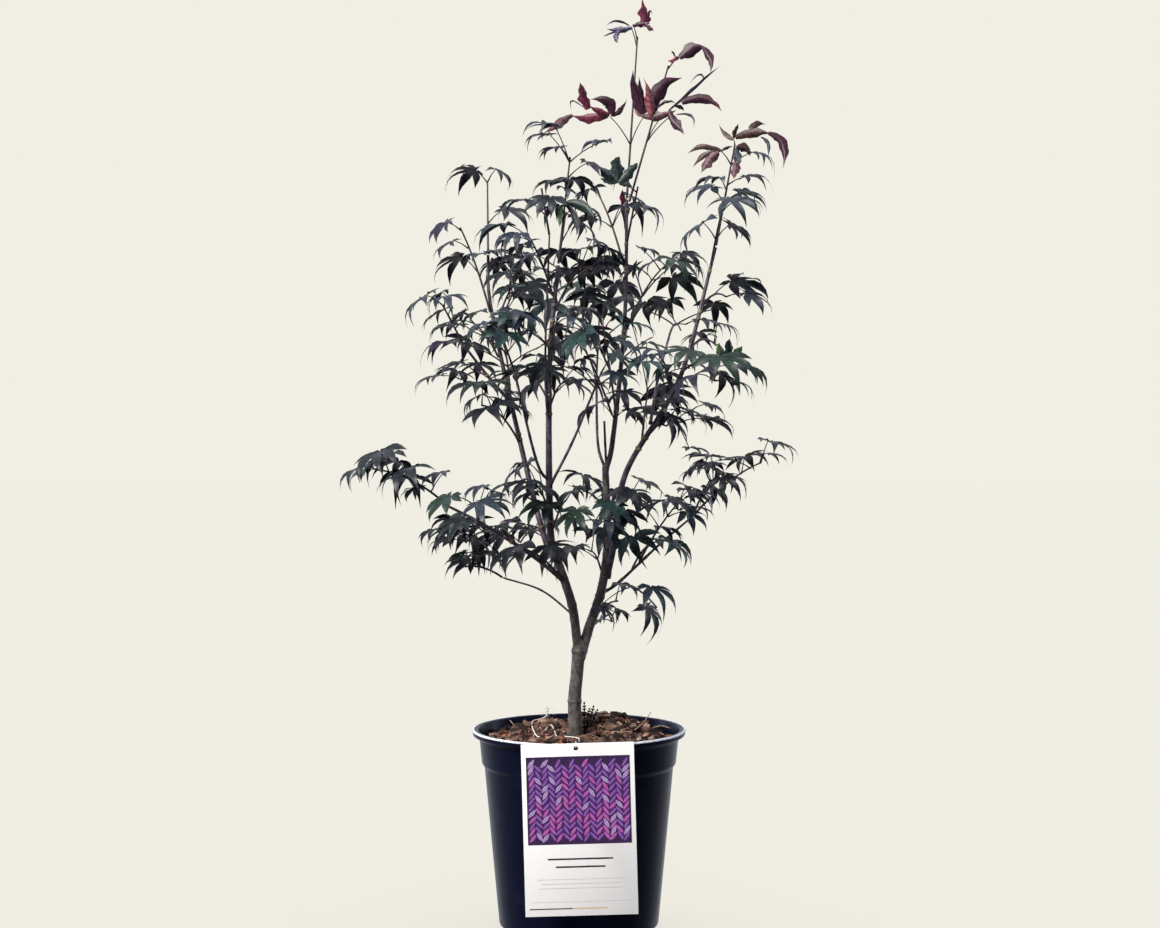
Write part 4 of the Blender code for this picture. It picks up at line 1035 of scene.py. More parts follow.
print("trunk and stems:", len(main_stems.data.polygons), "faces")

# %% [markdown]
# ## The growing rule
# Maples carry leaves in opposite pairs. Up each stem a pair leaves every node, turned from the pair
# below; low pairs may be side shoots that end in two leaves of their own. A leaf's stalk leaves the
# twig, rises, and lets the blade hang outwards. The draws come in the same order as in the solids,
# so each leaf falls on the solid's leaf, and one that the solids had no room for is left out.

# %% Twigs, and directions on them
def bent(start, end, bow, step=36):
    """A twig from start to end that bows upwards by a height in the middle."""
    middle = (start + end) / 2 + UP * bow * 2
    count = max(2, round((end - start).length / step))
    shares = [index / count for index in range(count + 1)]
    return [start * (1 - t) ** 2 + middle * 2 * t * (1 - t) + end * t ** 2 for t in shares]


def along(points, share):
    """Place and direction at a share of a twig."""
    place = share * (len(points) - 1)
    index = min(int(place), len(points) - 2)
    step = points[index + 1] - points[index]
    return points[index] + step * (place - index), step.normalized()


def sideways(axis, degrees):
    """A direction square to a twig: 0 and 180 are level, 90 is the upper side."""
    level = axis.cross(UP)
    if level.length < 0.35:
        level = axis.cross(Vector((0, 1, 0)))
    level.normalize()
    angle = math.radians(degrees)
    return level * math.cos(angle) + level.cross(axis) * math.sin(angle)


# %% A leaf by the rule, and a leaf set one by one
Leaf = namedtuple("Leaf", "root base forward up length droop colour", defaults=[None])
ROOT_OFFSET = 0.4


def leaf_on(rng, node, axis, degrees, size):
    """A leaf whose stalk leaves a twig on one side, rises, and lets the blade hang outwards."""
    spread = math.radians(rng.uniform(42, 62))
    side = sideways(axis, degrees + rng.uniform(-16, 16))
    out = axis * math.cos(spread) + side * math.sin(spread)
    out.z = max(out.z + rng.uniform(0.15, 0.5), 0.1)
    length = size * rng.uniform(0.82, 1.15)
    base = node + out.normalized() * length * rng.uniform(0.45, 0.75)
    level = Vector((out.x, out.y, 0))
    if level.length < 0.25:
        level = sideways(axis, degrees)
        level.z = 0
    level = Matrix.Rotation(math.radians(rng.uniform(-22, 22)), 3, "Z") @ level.normalized()
    dip = math.radians(rng.uniform(0, 28))
    forward = level * math.cos(dip) - UP * math.sin(dip)
    roll = Matrix.Rotation(math.radians(rng.uniform(-24, 24)), 3, forward)
    up = roll @ (level * math.sin(dip) + UP * math.cos(dip))
    return Leaf(node + side * ROOT_OFFSET, base, forward, up, length, rng.uniform(0.42, 0.72))


def placed_leaf(placed):
    """A leaf whose stalk leaves a stem and ends at a given point."""
    node, _ = along(stem_lines[placed.mass], placed.share)
    base = Vector(placed.base)
    reach = Vector(placed.aim) - base
    forward = reach.normalized()
    side = forward.cross(UP).normalized()
    up = Matrix.Rotation(math.radians(placed.roll), 3, forward) @ side.cross(forward)
    root = node + (base - node).normalized() * ROOT_OFFSET
    return Leaf(root, base, forward, up, reach.length, placed.droop, placed.colour)


# %% A mass by the rule
FIRST_NODE = 0.42
TRIES = 8


def first_fit(tries, fits):
    """The first of some leaves that fits, if any does."""
    return next((leaf for leaf in tries if fits(leaf)), None)


def grow(mass, twig_fits, leaf_fits):
    """Twigs and leaves of one mass: opposite pairs up a stem, each pair leaves or side shoots."""
    rng = random.Random(mass.seed)
    stem = stem_lines[mass.name]
    twigs = [(stem[0], stem[-1], mass.bow)]
    leaves = [placed_leaf(placed) for placed in PLACED if placed.mass == mass.name]
    leaves = [leaf for leaf in leaves if leaf_fits(leaf)]

    def add_leaf(node, axis, degrees, size):
        leaf = first_fit([leaf_on(rng, node, axis, degrees, size) for _ in range(TRIES)], leaf_fits)
        if leaf:
            leaves.append(leaf)

    def add_shoot(node, axis, degrees, size):
        out = (axis * 0.75 + sideways(axis, degrees) + UP * 0.25).normalized()
        end = node + out * size * rng.uniform(1.0, 1.3)
        twig = bent(node, end, 2)
        if not twig_fits(twig):
            return
        twigs.append((node, end, 2))
        _, heading = along(twig, 1)
        for hand in (0, 180):
            add_leaf(end, heading, hand + rng.uniform(-20, 20), size)

    for index in range(mass.nodes):
        last = index == mass.nodes - 1
        share = 1 if last else FIRST_NODE + (1 - FIRST_NODE) * index / max(1, mass.nodes - 1)
        node, axis = along(stem, share)
        turn = mass.turn + index * (35 + 55 * abs(axis.z))
        for hand in (0, 180):
            if index < mass.shoots:
                add_shoot(node, axis, turn + hand, mass.leaf)
            else:
                add_leaf(node, axis, turn + hand, mass.leaf)
        if last:
            add_leaf(node - axis * 3, axis, turn + 90, mass.leaf * 0.8)
    return twigs, leaves


# %% Where each mass's stem leaves its limb
STEM_RADIUS, SHOOT_RADIUS, SPUR_RADIUS = 1.15, 0.85, 0.6


def stem_of(mass):
    """The mass's stem, started where it is just clear of the limb it leaves."""
    limb = grown[mass.limb]
    end = Vector(mass.tip)
    whole = bent(limb.at(mass.at), end, mass.bow)
    share = 0.0
    while share < 0.5:
        place, axis = along(whole, share)
        corners = [place + sideways(axis, angle) * STEM_RADIUS for angle in (0, 90, 180, 270)]
        if min(limb.clearance(corner) for corner in corners) >= GAP:
            break
        share += 0.002
    return bent(place, end, mass.bow)


stem_lines = {mass.name: stem_of(mass) for mass in MASSES}
print("stems:", len(stem_lines))

# %% Grow every mass where its solid has room
LEAF_THICKNESS = 1.1
LEAF_MATCH, TWIG_MATCH = 0.12, 1.1


def search_tree(mesh):
    """A search tree of a mesh's surface, in millimetres."""
    return BVHTree.FromPolygons([vert.co / MM for vert in mesh.vertices],
                                [face.vertices[:] for face in mesh.polygons])


foliage = {}
for mass in MASSES:
    skin = search_tree(frame["nodes"][mass.name].data)

    def twig_fits(points):
        return all(skin.find_nearest(along(points, share)[0])[3] < TWIG_MATCH for share in (0.35, 0.65, 1))

    def leaf_fits(leaf):
        middle = leaf.base + leaf.up * LEAF_THICKNESS / 2
        tip = leaf.base + leaf.forward * leaf.length - leaf.up * leaf.droop * leaf.length
        return all(skin.find_nearest(spot)[3] < LEAF_MATCH for spot in (middle, tip))

    foliage[mass.name] = grow(mass, twig_fits, leaf_fits)
print("leaves that fall on the solids:", sum(len(leaves) for _, leaves in foliage.values()))
print("twigs:", sum(len(twigs) for twigs, _ in foliage.values()))

# %% [markdown]
# The crown is open. Seen from the front, sky shows through it in round gaps between the tiers, and
# leaves there would close it up. A leaf whose blade hangs in a gap is left out.

# %% Gaps that stay open
EYE = Vector((1, -1800, 453.2))
# place from side to side, height and radius of each gap, in the plane of the trunk
SKY = ((122, 747, 13), (0, 733, 13), (-73, 695, 12), (-125, 659, 8), (-52, 646, 10), (24, 675, 11),
        (64, 696, 10), (-106, 600, 12), (140, 595, 11), (164, 500, 8), (125, 542, 8), (74, 610, 9),
        (24, 514, 9), (62, 500, 11), (-188, 468, 11), (-128, 392, 8), (78, 416, 9), (88, 380, 11),
        (168, 416, 10), (193, 434, 7), (96, 302, 8), (57, 290, 10), (82, 765, 9), (54, 800, 10),
        (-30, 700, 11), (-86, 676, 8), (-22, 640, 9), (-96, 578, 9), (78, 558, 9), (104, 566, 8),
        (28, 560, 8), (-6, 515, 8), (-200, 408, 10), (-160, 470, 9), (-132, 340, 9), (60, 420, 8),
        (-33, 632, 8), (-83, 532, 7), (-118, 484, 9), (112, 486, 9), (-90, 414, 7), (48, 338, 8),
        (-70, 352, 7), (-10, 702, 7), (-2, 370, 7), (66, 364, 8), (-40, 352, 6), (0, 430, 11),
        (56, 322, 7), (-12, 358, 7), (152, 552, 8), (-10, 727, 12), (-38, 680, 11), (-203, 442, 8),
        (100, 317, 8), (160, 534, 8), (-186, 447, 7), (33, 556, 8), (-50, 532, 7), (108, 462, 8),
        (-14, 372, 7), (190, 424, 8), (-128, 398, 7), (141, 537, 9))
# leaders that show, how wide a strip they keep free, and the heights between which they do
BARE_LEADERS = {"left_leader": (7, 405, 700), "centre_leader": (6, 590, 720), "right_leader": (6, 540, 700),
                "far_left_leader": (5, 540, 640), "right_stem": (6, 260, 352), "left_stem": (6, 250, 350)}
NEAR_HEIGHT = 18
# the points of a blade that are tested: direction and share of its length
BLADE_SAMPLES = ((0, 0.3), (0, 0.6), (0, 0.9), (38, 0.7), (-38, 0.7))


def seen_from_front(point):
    """Where a point appears in the plane of the trunk."""
    return EYE + (point - EYE) * (-EYE.y / (point.y - EYE.y))


def blade_point(leaf, degrees, share, sag):
    """A point of a blade, at a share of its length in a direction, that hangs by a part of the droop."""
    angle = math.radians(degrees)
    flat = leaf.forward * math.cos(angle) + leaf.up.cross(leaf.forward) * math.sin(angle)
    return leaf.base + (flat * share - leaf.up * leaf.droop * sag) * leaf.length


def in_sky(leaf):
    """Whether a blade, seen from the front, hangs in a gap or hides a leader."""
    for degrees, share in BLADE_SAMPLES:
        spot = blade_point(leaf, degrees, share, 0.7 * share ** 3)
        seen = seen_from_front(spot)
        if any(math.hypot(seen.x - x, seen.z - z) < radius for x, z, radius in SKY):
            return True
        for name, (width, low, high) in BARE_LEADERS.items():
            for point in grown[name].points if low < seen.z < high else ():
                behind = seen_from_front(point)
                near = abs(seen.z - behind.z) < NEAR_HEIGHT and abs(seen.x - behind.x) < width
                if near and spot.y < point.y:
                    return True
    return False


# Leaves with a colour of their own, and those of the right-hand top above this height, still
# unroll. They are drawn lobe by lobe further on.
YOUNG_HEIGHT = 694
for name, (_, leaves) in foliage.items():
    top = YOUNG_HEIGHT if name == "right_top" else math.inf
    leaves[:] = [leaf for leaf in leaves if not leaf.colour and leaf.base.z < top and not in_sky(leaf)]
print("leaves kept beside the gaps:", sum(len(leaves) for _, leaves in foliage.values()))

# %% [markdown]
# A few leaves catch the eye because they face out of the crown or fill a tier's end. They are set one
# by one, in the same terms as those of the plan.

# %% Leaves that catch the eye
EYE_CATCHING = [Placed(*row) for row in (
    ("left_top", 0.95, (-27, -40, 732), (-50, -52, 732), 0.7, "black_green"),
    ("left_top", 0.95, (24, -34, 727), (0, -44, 726), 0.6, "slate_green"),
    ("left_top", 0.4, (-26, -62, 672), (-40, -84, 656), 0.35, "black_green", -10),
    ("far_left_top", 1.0, (-80, 44, 712), (-60, 34, 700), 0.6, "black_green"),
    ("left_front", 0.9, (4, -118, 548), (-14, -134, 524), 0.25, "teal_green", 10),
    ("front_centre", 0.8, (38, -116, 540), (54, -130, 526), 0.3, "slate_green", -10),
    ("front_left", 0.7, (-66, -88, 566), (-54, -104, 548), 0.3, "teal_green"),
    ("right_top", 0.8, (158, -44, 715), (182, -52, 712), 0.75, "slate_green"),
    ("right_top", 0.6, (150, -50, 692), (176, -56, 696), 0.7, "black_green"),
    ("right_top", 0.55, (128, -56, 690), (102, -62, 692), 0.8, "slate_green"),
    ("right_low", 0.8, (100, -54, 446), (122, -66, 444), 0.6, "black_green"),
    ("right_droop", 0.95, (126, -72, 514), (146, -86, 494), 0.8, "black_green"),
    ("low_right_under", 0.85, (62, -14, 298), (80, -26, 278), 0.7, "black_green"),
    ("low_right_under", 0.3, (20, -8, 298), (38, -22, 286), 0.6, "slate_green"),
    ("low_centre_left", 0.6, (-6, -20, 380), (10, -32, 367), 0.6, "deep_green"),
    ("low_left_side", 0.2, (-84, -74, 412), (-108, -84, 406), 0.5, "slate_green"),
    ("left_low", 0.8, (-42, -60, 406), (-62, -70, 398), 0.6, "black_green"),
    ("centre_right", 0.9, (58, 30, 636), (84, 24, 630), 0.6, "slate_green"),
    ("right_droop", 1.0, (138, -76, 506), (162, -84, 500), 0.85, "black_green"),
    ("far_left_back", 0.9, (-66, 60, 602), (-90, 52, 592), 0.6, "teal_green"),
    ("outer_left", 0.4, (-90, -6, 574), (-114, -14, 566), 0.6, "deep_green"),
    ("right_mid", 0.9, (128, -20, 561), (152, -28, 557), 0.8, "black_green"),
    ("low_right_mid", 0.5, (56, 10, 394), (80, 2, 386), 0.6, "slate_green"),
    ("left_low", 0.5, (-36, -52, 411), (-12, -62, 401), 0.6, "black_green"),
    ("left_top", 0.75, (-18, -44, 690), (-46, -54, 686), 0.6, "black_green"),
    ("left_top", 0.7, (-15, -46, 683), (5, -56, 674), 0.6, "slate_green"),
    ("right_droop", 0.3, (88, -56, 522), (62, -66, 514), 0.6, "black_green"),
    ("right_droop", 0.2, (80, -48, 514), (98, -66, 506), 0.6, "violet_grey"),
    ("right_lower_in", 0.95, (48, -36, 560), (72, -50, 556), 0.5, "teal_green"),
    ("front_left", 0.5, (-44, -70, 552), (-66, -80, 546), 0.6, "violet_grey"),
    ("low_left_end", 0.25, (-122, -60, 424), (-146, -68, 418), 0.6, "violet_grey"),
    ("front_centre", 0.6, (2, -100, 542), (26, -112, 536), 0.6, "black_green"),
    ("right_lower_in", 0.8, (62, -40, 542), (88, -52, 536), 0.6, "deep_green"),
    ("far_left_top", 0.04, (-91, 38, 631), (-115, 30, 629), 0.55, "slate_green"),
    ("far_left_top", 0.03, (-86, 36, 632), (-60, 28, 636), 0.55, "slate_green"),
    ("far_left_in", 0.5, (-54, 60, 634), (-38, 50, 622), 0.55, "violet_grey"),
    ("low_right_in", 0.8, (46, -38, 400), (68, -50, 392), 0.5, "black_green"),
    ("low_right_end", 0.85, (140, 56, 434), (166, 62, 440), 0.35, "black_green"),
    ("low_right_end", 0.98, (178, 64, 440), (206, 70, 438), 0.4, "violet_grey"),
    ("low_left_end", 0.8, (-158, -62, 425), (-182, -76, 419), 0.4, "deep_green"),
    ("low_left_end", 0.55, (-146, -60, 410), (-160, -74, 402), 0.4, "black_green"),
    ("left_side", 0.95, (-58, -62, 636), (-80, -70, 630), 0.65, "violet_grey"),
    ("left_back", 0.8, (12, -2, 640), (34, -12, 632), 0.6, "slate_green"),
    ("low_left_under", 0.9, (-132, -8, 370), (-152, -18, 364), 0.6, "black_green"),
    ("low_left_side", 0.8, (-112, -116, 404), (-134, -132, 388), 0.35, "deep_green"),
    ("centre_low", 0.8, (-2, -60, 390), (-14, -80, 370), 0.35, "deep_green"),
    ("centre_low", 0.95, (26, -58, 396), (40, -78, 376), 0.35, "teal_green"),
)]
for placed in EYE_CATCHING:
    foliage[placed.mass][1].append(placed_leaf(placed))
print("leaves that catch the eye:", len(EYE_CATCHING))

# %% [markdown]
# The youngest leaves still unroll, and every lobe goes its own way: one stands, one hangs, one curls
# into a loop. No pattern gives that, so these leaves are drawn lobe by lobe. A lobe has a foot, a tip
# and a bow, all read where they appear in the plane of the trunk, and its own depth, width and colour.

# %% Leaves that still unroll, lobe by lobe
Unrolling = namedtuple("Unrolling", "mass share base lobes bluntness", defaults=[1.5])
# foot and tip, each as place, depth and height; how far the middle bows aside and up; width; colour
Lobe = namedtuple("Lobe", "foot tip bow width colour")
UNROLLING = [Unrolling(mass, share, base, [Lobe(*lobe) for lobe in lobes], *rest)
             for mass, share, base, lobes, *rest in (
    ("crown_top", 0.98, (51, 6, 840), (
        ((50, 6, 840), (67, 2, 841), (0, 1), 5, "wine"),
        ((61, 4, 839), (57, 0, 865), (3, -1), 10.5, "crimson"),
        ((65, 2, 842), (69, -6, 850), (-1, 7), 2.2, "wine"),
        ((62, 0, 842), (70, -8, 835), (0, -1), 4.5, "wine"))),
    ("crown_top", 0.94, (49, 14, 838), (
        ((50, 14, 838), (25, 8, 838), (0, -1), 6.5, "lilac_grey"),
        ((47, 10, 840), (25, -2, 839), (-1, 5), 2.8, "violet_grey"),
        ((39, 8, 837), (37, -4, 823), (-4, -1), 4.5, "lilac_grey"),
        ((35, 12, 834), (21, 24, 829), (0, 1), 1.8, "violet_grey"))),
    ("crown_top", 0.33, (29, -4, 755), (
        ((30, -4, 756), (45, 2, 772), (2, -3), 4.5, "wine"),
        ((31, -4, 757), (10, -12, 771), (6, 6), 11, "wine"),
        ((29, -6, 757), (9, -20, 765), (1, -1), 7.5, "crimson"),
        ((27, -6, 756), (-9, -14, 757), (0, -2), 9, "crimson"),
        ((9, -12, 762), (2, -22, 788), (-1, 0), 9.5, "crimson"),
        ((4, -10, 764), (-6, -4, 760), (-6, 8), 1.8, "wine"),
        ((-6, -14, 757), (-34, -22, 738), (0, 1), 8.5, "rose_brown"))),
    ("crown_top", 0.33, (60, -12, 754), (
        ((62, -12, 758), (50, -18, 799), (-1, -4), 12, "wine"),
        ((60, -12, 762), (55, -22, 793), (1, 0), 5, "wine"),
        # the salmon lobe is a painted highlight on a young red leaf
        ((66, -16, 756), (60, -26, 792), (4, -3), 9, "salmon_highlight"),
        ((60, -12, 755), (51, -8, 767), (-1, -1), 4, "rose_brown"),
        ((59, -12, 756), (92, -20, 761), (0, -3), 8.5, "rose_brown"))),
    ("crown_right", 0.44, (76, -18, 753), (
        ((70, -14, 758), (97, -20, 792), (-7, 5), 13, "wine"),
        ((73, -18, 763), (91, -28, 767), (0, 4), 3, "wine"),
        ((84, -18, 761), (99, -28, 739), (-1, -2), 9, "wine"),
        ((91, -18, 757), (107, -26, 744), (6, 5), 2.4, "violet_grey"),
        ((90, -16, 765), (98, -10, 760), (1, 1), 4, "wine"))),
    ("crown_right", 0.44, (88, -10, 757), (
        ((96, -14, 768), (134, -22, 760), (2, 7), 8.5, "wine"),
        ((84, -8, 761), (133, 4, 803), (1, 1), 3.2, "violet_grey"),
        ((117, -2, 790), (103, -8, 785), (2, 7), 1.8, "violet_grey"))),
    ("crown_right", 0.97, (94, -14, 811), (
        ((94, -14, 810), (119, -20, 821), (0, 1), 12, "wine"),
        ((115, -20, 820), (123, -26, 795), (3, 2), 7, "wine"),
        ((93, -13, 811), (82, -4, 807), (0, -1), 4.5, "crimson"),
        ((90, -13, 811), (86, -20, 817), (0, 1), 2, "wine"))),
    ("centre_upper", 0.9, (36, -46, 694), (
        ((36, -46, 694), (20, -52, 707), (-1, 1), 9.5, "pale_slate"),
        ((36, -46, 694), (38, -56, 718), (-1, 0), 11.5, "pale_slate"),
        ((37, -46, 694), (55, -50, 712), (1, -1), 8.5, "pale_slate"),
        ((37, -45, 694), (50, -44, 690), (0, 0), 4.5, "pale_slate"),
        ((36, -45, 694), (20, -44, 698), (0, -1), 4.5, "pale_slate")), 0.55),
    ("centre_upper", 0.04, (41, -4, 674), (
        ((41, -4, 673), (41, -8, 688), (0, 0), 6, "crimson"),)),
    ("left_top", 0.5, (-14, -58, 674), (
        ((-14, -60, 675), (13, -72, 660), (4, 4), 9.5, "deep_green"),
        ((-16, -58, 672), (-18, -70, 652), (-1, 0), 5, "fresh_green"),
        ((-12, -60, 674), (-2, -76, 644), (3, 2), 7, "black_green")), 1.0),
    ("right_mid", 0.95, (140, -78, 527), (
        ((140, -78, 527), (130, -84, 544), (-1, -1), 8, "fresh_green"),
        ((140, -78, 527), (143, -90, 548), (-1, 0), 8, "teal_green"),
        ((140, -78, 527), (153, -84, 541), (1, -1), 8, "fresh_green")), 1.0),
    ("right_top", 1.0, (145, -47, 733), (
        ((145, -47, 734), (131, -40, 748), (-1, -2), 5, "russet"),
        ((145, -48, 735), (149, -58, 749), (-1, 0), 4.5, "russet"),
        ((146, -48, 736), (181, -56, 739), (0, 2), 8, "russet"),
        ((177, -56, 740), (190, -62, 706), (7, 5), 8, "wine"),
        ((170, -52, 736), (176, -58, 716), (4, 3), 3.5, "slate_green"),
        ((160, -46, 738), (175, -36, 749), (-2, 3), 7, "russet"))),
    ("right_top", 0.8, (133, -52, 723), (
        ((133, -52, 723), (101, -60, 720), (-2, 6), 6, "russet"),
        ((131, -52, 723), (107, -66, 707), (-2, 4), 6, "russet"),
        ((131, -54, 722), (113, -74, 702), (-1, 2), 9.5, "rose_brown"),
        ((133, -52, 723), (144, -48, 727), (0, 1), 3, "russet"))),
    ("right_top", 0.85, (147, -50, 726), (
        ((147, -50, 726), (161, -44, 718), (1, 3), 8, "russet"),
        ((147, -52, 726), (149, -60, 709), (0, 0), 7, "slate_green"),
        ((147, -58, 713), (145, -64, 697), (0, 0), 9, "rose_brown"))),
)]


def as_seen(spot):
    """The point at a depth that appears at a place and a height in the plane of the trunk."""
    x, y, z = spot
    return EYE + (Vector((x, 0, z)) - EYE) * ((y - EYE.y) / -EYE.y)


unrolling_stalks = [(along(stem_lines[leaf.mass], leaf.share)[0], as_seen(leaf.base)) for leaf in UNROLLING]
print("lobes drawn one by one:", sum(len(leaf.lobes) for leaf in UNROLLING))

# %% [markdown]
# ## Finer growth between the leaves
# The solids hold the leaves that make the outline. The real crown is fuller inside it, so thin spurs
# leave the same stems and shoots by the same rule and end in two or three smaller leaves. Each new
# leaf must stay within the reach of its own solid, and must not cross a limb, a stalk or a blade
# that is already there. Where the tiers are open, few spurs are tried, and the sky stays.

# %% A coarse blade to test with
# direction and reach of the coarse blade's points
FAN = ((78, 0.62), (38, 0.88), (0, 1.0), (-38, 0.88), (-78, 0.62))


def blade_fan(leaf):
    """A coarse fan over a leaf's blade, to test for crossings: its corners and its search tree."""
    rim = [blade_point(leaf, degrees, share, share ** 2) for degrees, share in FAN]
    corners = [leaf.base + leaf.up * 0.4, *rim]
    return corners, BVHTree.FromPolygons(corners, [(0, n, n + 1) for n in range(1, len(rim))])


def hit_by(tree, line):
    """Whether a line from start to end meets a surface."""
    start, end = line
    return tree.ray_cast(start, end - start, (end - start).length)[0] is not None


# %% What is already there
BLADE_REACH = 1.05
limb_trees = [search_tree(piece.data) for piece in (main_stems, thin_limbs)]
# centre, reach, coarse blade and lines of everything that is in place
taken = []


def take(leaf):
    """Notes that a leaf's blade and stalk are in place."""
    taken.append((leaf.base, leaf.length * BLADE_REACH, blade_fan(leaf)[1], [(leaf.root, leaf.base)]))


def is_free(leaf, *lines):
    """Whether a leaf hangs in no gap, and it and its lines cross no limb, stalk or blade."""
    _, tree = blade_fan(leaf)
    stalk = (leaf.root, leaf.base)
    if in_sky(leaf) or any(tree.overlap(limb) or hit_by(limb, stalk) for limb in limb_trees):
        return False
    for centre, reach, other_tree, other_lines in taken:
        if (leaf.base - centre).length > leaf.length * BLADE_REACH + reach:
            continue
        if tree.overlap(other_tree) or any(hit_by(other_tree, line) for line in (stalk, *lines)):
            return False
        if any(hit_by(tree, line) for line in other_lines):
            return False
    return True


for _, leaves in foliage.values():
    for leaf in leaves:
        take(leaf)
print("leaves in place:", len(taken))

# %% Grow the spurs
REACH_MARGIN = 3.0
FINE_SEED = 1000
SPURS_PER_LEAF = 0.5
SPUR_TRIES = 4
# how full a mass is, where it isn't 1
FULLNESS = {"crown_top": 0, "crown_right": 0, "right_top": 0, "right_side": 0.2, "left_top": 0.2,
            "far_left_top": 0, "far_left_out": 0.2, "centre_upper": 0, "outer_left": 0.3,
            "outer_left_low": 0.4, "right_outer": 0.3, "low_left_end": 0.3, "low_right_end": 0.4,
            "low_right_under": 0.2, "stem_right": 0, "low_right_mid": 0.5}


def inside_box(point, low, high):
    """Whether a point is in a box, or just outside it."""
    return all(low[axis] - REACH_MARGIN <= point[axis] <= high[axis] + REACH_MARGIN for axis in range(3))


def fine_growth(mass, twigs, count):
    """Spurs with small leaves on the stem and shoots of one mass."""
    rng = random.Random(mass.seed + FINE_SEED)
    low, high = (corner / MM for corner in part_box(mass.name))
    lines = [bent(*twig, 6) for twig in twigs]
    spurs, leaves = [], []
    for _ in range(count):
        line = lines[0] if rng.random() < 0.6 else rng.choice(lines)
        node, axis = along(line, rng.uniform(0.25, 1))
        turn = rng.uniform(0, 360)
        out = (axis * rng.uniform(0.3, 0.9) + sideways(axis, turn) + UP * rng.uniform(0, 0.5)).normalized()
        end = node + out * rng.uniform(6, 26)

        def fits(leaf):
            within = all(inside_box(corner, low, high) for corner in blade_fan(leaf)[0])
            return within and is_free(leaf, (node, end))

        group = []
        for hand in (0, 180, 90):
            size = mass.leaf * rng.uniform(0.6, 0.9)
            tries = [leaf_on(rng, end, out, hand + rng.uniform(-25, 25), size) for _ in range(SPUR_TRIES)]
            leaf = first_fit(tries, fits)
            if leaf:
                group.append(leaf)
                take(leaf)
        if group:
            spurs.append((node, end, 1))
            taken.append((end, 1, blade_fan(group[0])[1], [(node, end)]))
            leaves += group
    return spurs, leaves


fine = {}
for mass in MASSES:
    twigs, leaves = foliage[mass.name]
    count = round(len(leaves) * SPURS_PER_LEAF * FULLNESS.get(mass.name, 1))
    fine[mass.name] = fine_growth(mass, twigs, count)
print("spurs:", sum(len(spurs) for spurs, _ in fine.values()))
print("smaller leaves:", sum(len(leaves) for _, leaves in fine.values()))

# %% [markdown]
# Inside the crown some nodes carry a short spray of their own that never reaches the outline. These
# sprays follow the growing rule as well, and take a leaf only where nothing is in its way.

# %% Sprays inside the crown
# limb, where on it, end of the stem, bow, pairs, length of a leaf, seed, turn of the first pair
INNER = [Mass(f"spray_{seed}", limb, at, tip, bow, nodes, 0, leaf, seed, *turn)
         for limb, at, tip, bow, nodes, leaf, seed, *turn in (
    ("companion_stem", 1.0, (-34, -48, 682), 0, 3, 34, 51),
    ("left_leader", 1.0, (-12, -18, 664), 0, 2, 34, 52, 40),
    ("left_leader", 0.5, (-48, 10, 516), 4, 3, 35, 53, 20),
    ("left_leader", 0.48, (-14, -66, 505), 4, 2, 35, 54),
    ("left_leader", 0.12, (-54, -30, 402), 4, 2, 35, 55),
    ("left_leader", 0.08, (-12, -52, 398), 4, 2, 35, 56),
    ("far_left_leader", 0.76, (-62, 4, 590), 4, 2, 34, 57),
    ("far_left_leader", 0.68, (-102, 52, 566), 4, 2, 34, 58),
    ("centre_leader", 0.34, (4, -14, 566), 4, 2, 34, 59),
    ("centre_leader", 0.22, (4, 0, 540), 4, 3, 34, 70),
    ("centre_leader", 0.26, (22, -34, 556), 4, 2, 34, 71),
    ("centre_leader", 0.12, (36, -22, 494), 4, 2, 34, 60),
    ("right_leader", 0.56, (72, -64, 532), 4, 2, 35, 61),
    ("right_leader", 0.42, (82, -14, 466), 4, 3, 35, 62),
    ("right_leader", 0.18, (50, 34, 400), 4, 2, 34, 63),
    ("low_right_bough", 1.0, (126, 50, 414), 2, 2, 34, 64),
    ("low_right_bough", 0.4, (68, 6, 356), 4, 2, 35, 65),
    ("right_stem", 0.76, (4, -26, 406), 4, 3, 35, 66),
    ("right_stem", 0.46, (12, 50, 346), 4, 2, 35, 67),
    ("right_stem", 0.24, (36, -22, 304), 4, 1, 33, 68),
    ("left_stem", 0.8, (-52, -42, 354), 4, 2, 34, 69),
)]


def take_if_free(leaf):
    """Takes a leaf's place if nothing is in its way, and says whether it did."""
    free = is_free(leaf)
    if free:
        take(leaf)
    return free


for mass in INNER:
    stem_lines[mass.name] = stem_of(mass)
    foliage[mass.name] = grow(mass, lambda twig: True, take_if_free)
print("leaves inside the crown:", sum(len(foliage[mass.name][1]) for mass in INNER))

# %% [markdown]
# ## Leaves
# A leaf is a hand of five to seven narrow pointed lobes, joined for the first third of their length.
# It opens flat and then hangs: the lobes curl down at their ends like an umbrella's ribs, and each is
# folded a little along its midrib. One lobe is a grid three vertices wide, pulled to the lobe's
# outline. A few of these are turned round one point and merged into a blade of about sixty faces.
# Every leaf is its own bend of that blade, so no two are quite alike.

# %% Blade patterns
# each lobe's direction, its reach, and the notch on the far side of it: direction and radius
HAND = ((-113, 0.36, -95, 0.13), (-77, 0.68, -57.5, 0.21), (-38, 0.92, -19, 0.27), (0, 1.0, 19, 0.27),
        (38, 0.92, 57.5, 0.21), (77, 0.68, 95, 0.13), (113, 0.36, 145, 0.06))
HEEL = (-145, 0.06)
# share of a lobe's reach and half its width there, beyond the notches
PLAIN_ROWS = ((0.45, 0.118), (0.62, 0.102), (0.77, 0.062), (0.89, 0.026), (1, 0))
BASAL_ROWS = ((0.60, 0.080), (1, 0))
FOLD = 0.30


def polar(degrees, radius):
    """A flat point at a direction and a distance."""
    angle = math.radians(degrees)
    return Vector((math.cos(angle) * radius, math.sin(angle) * radius, 0))


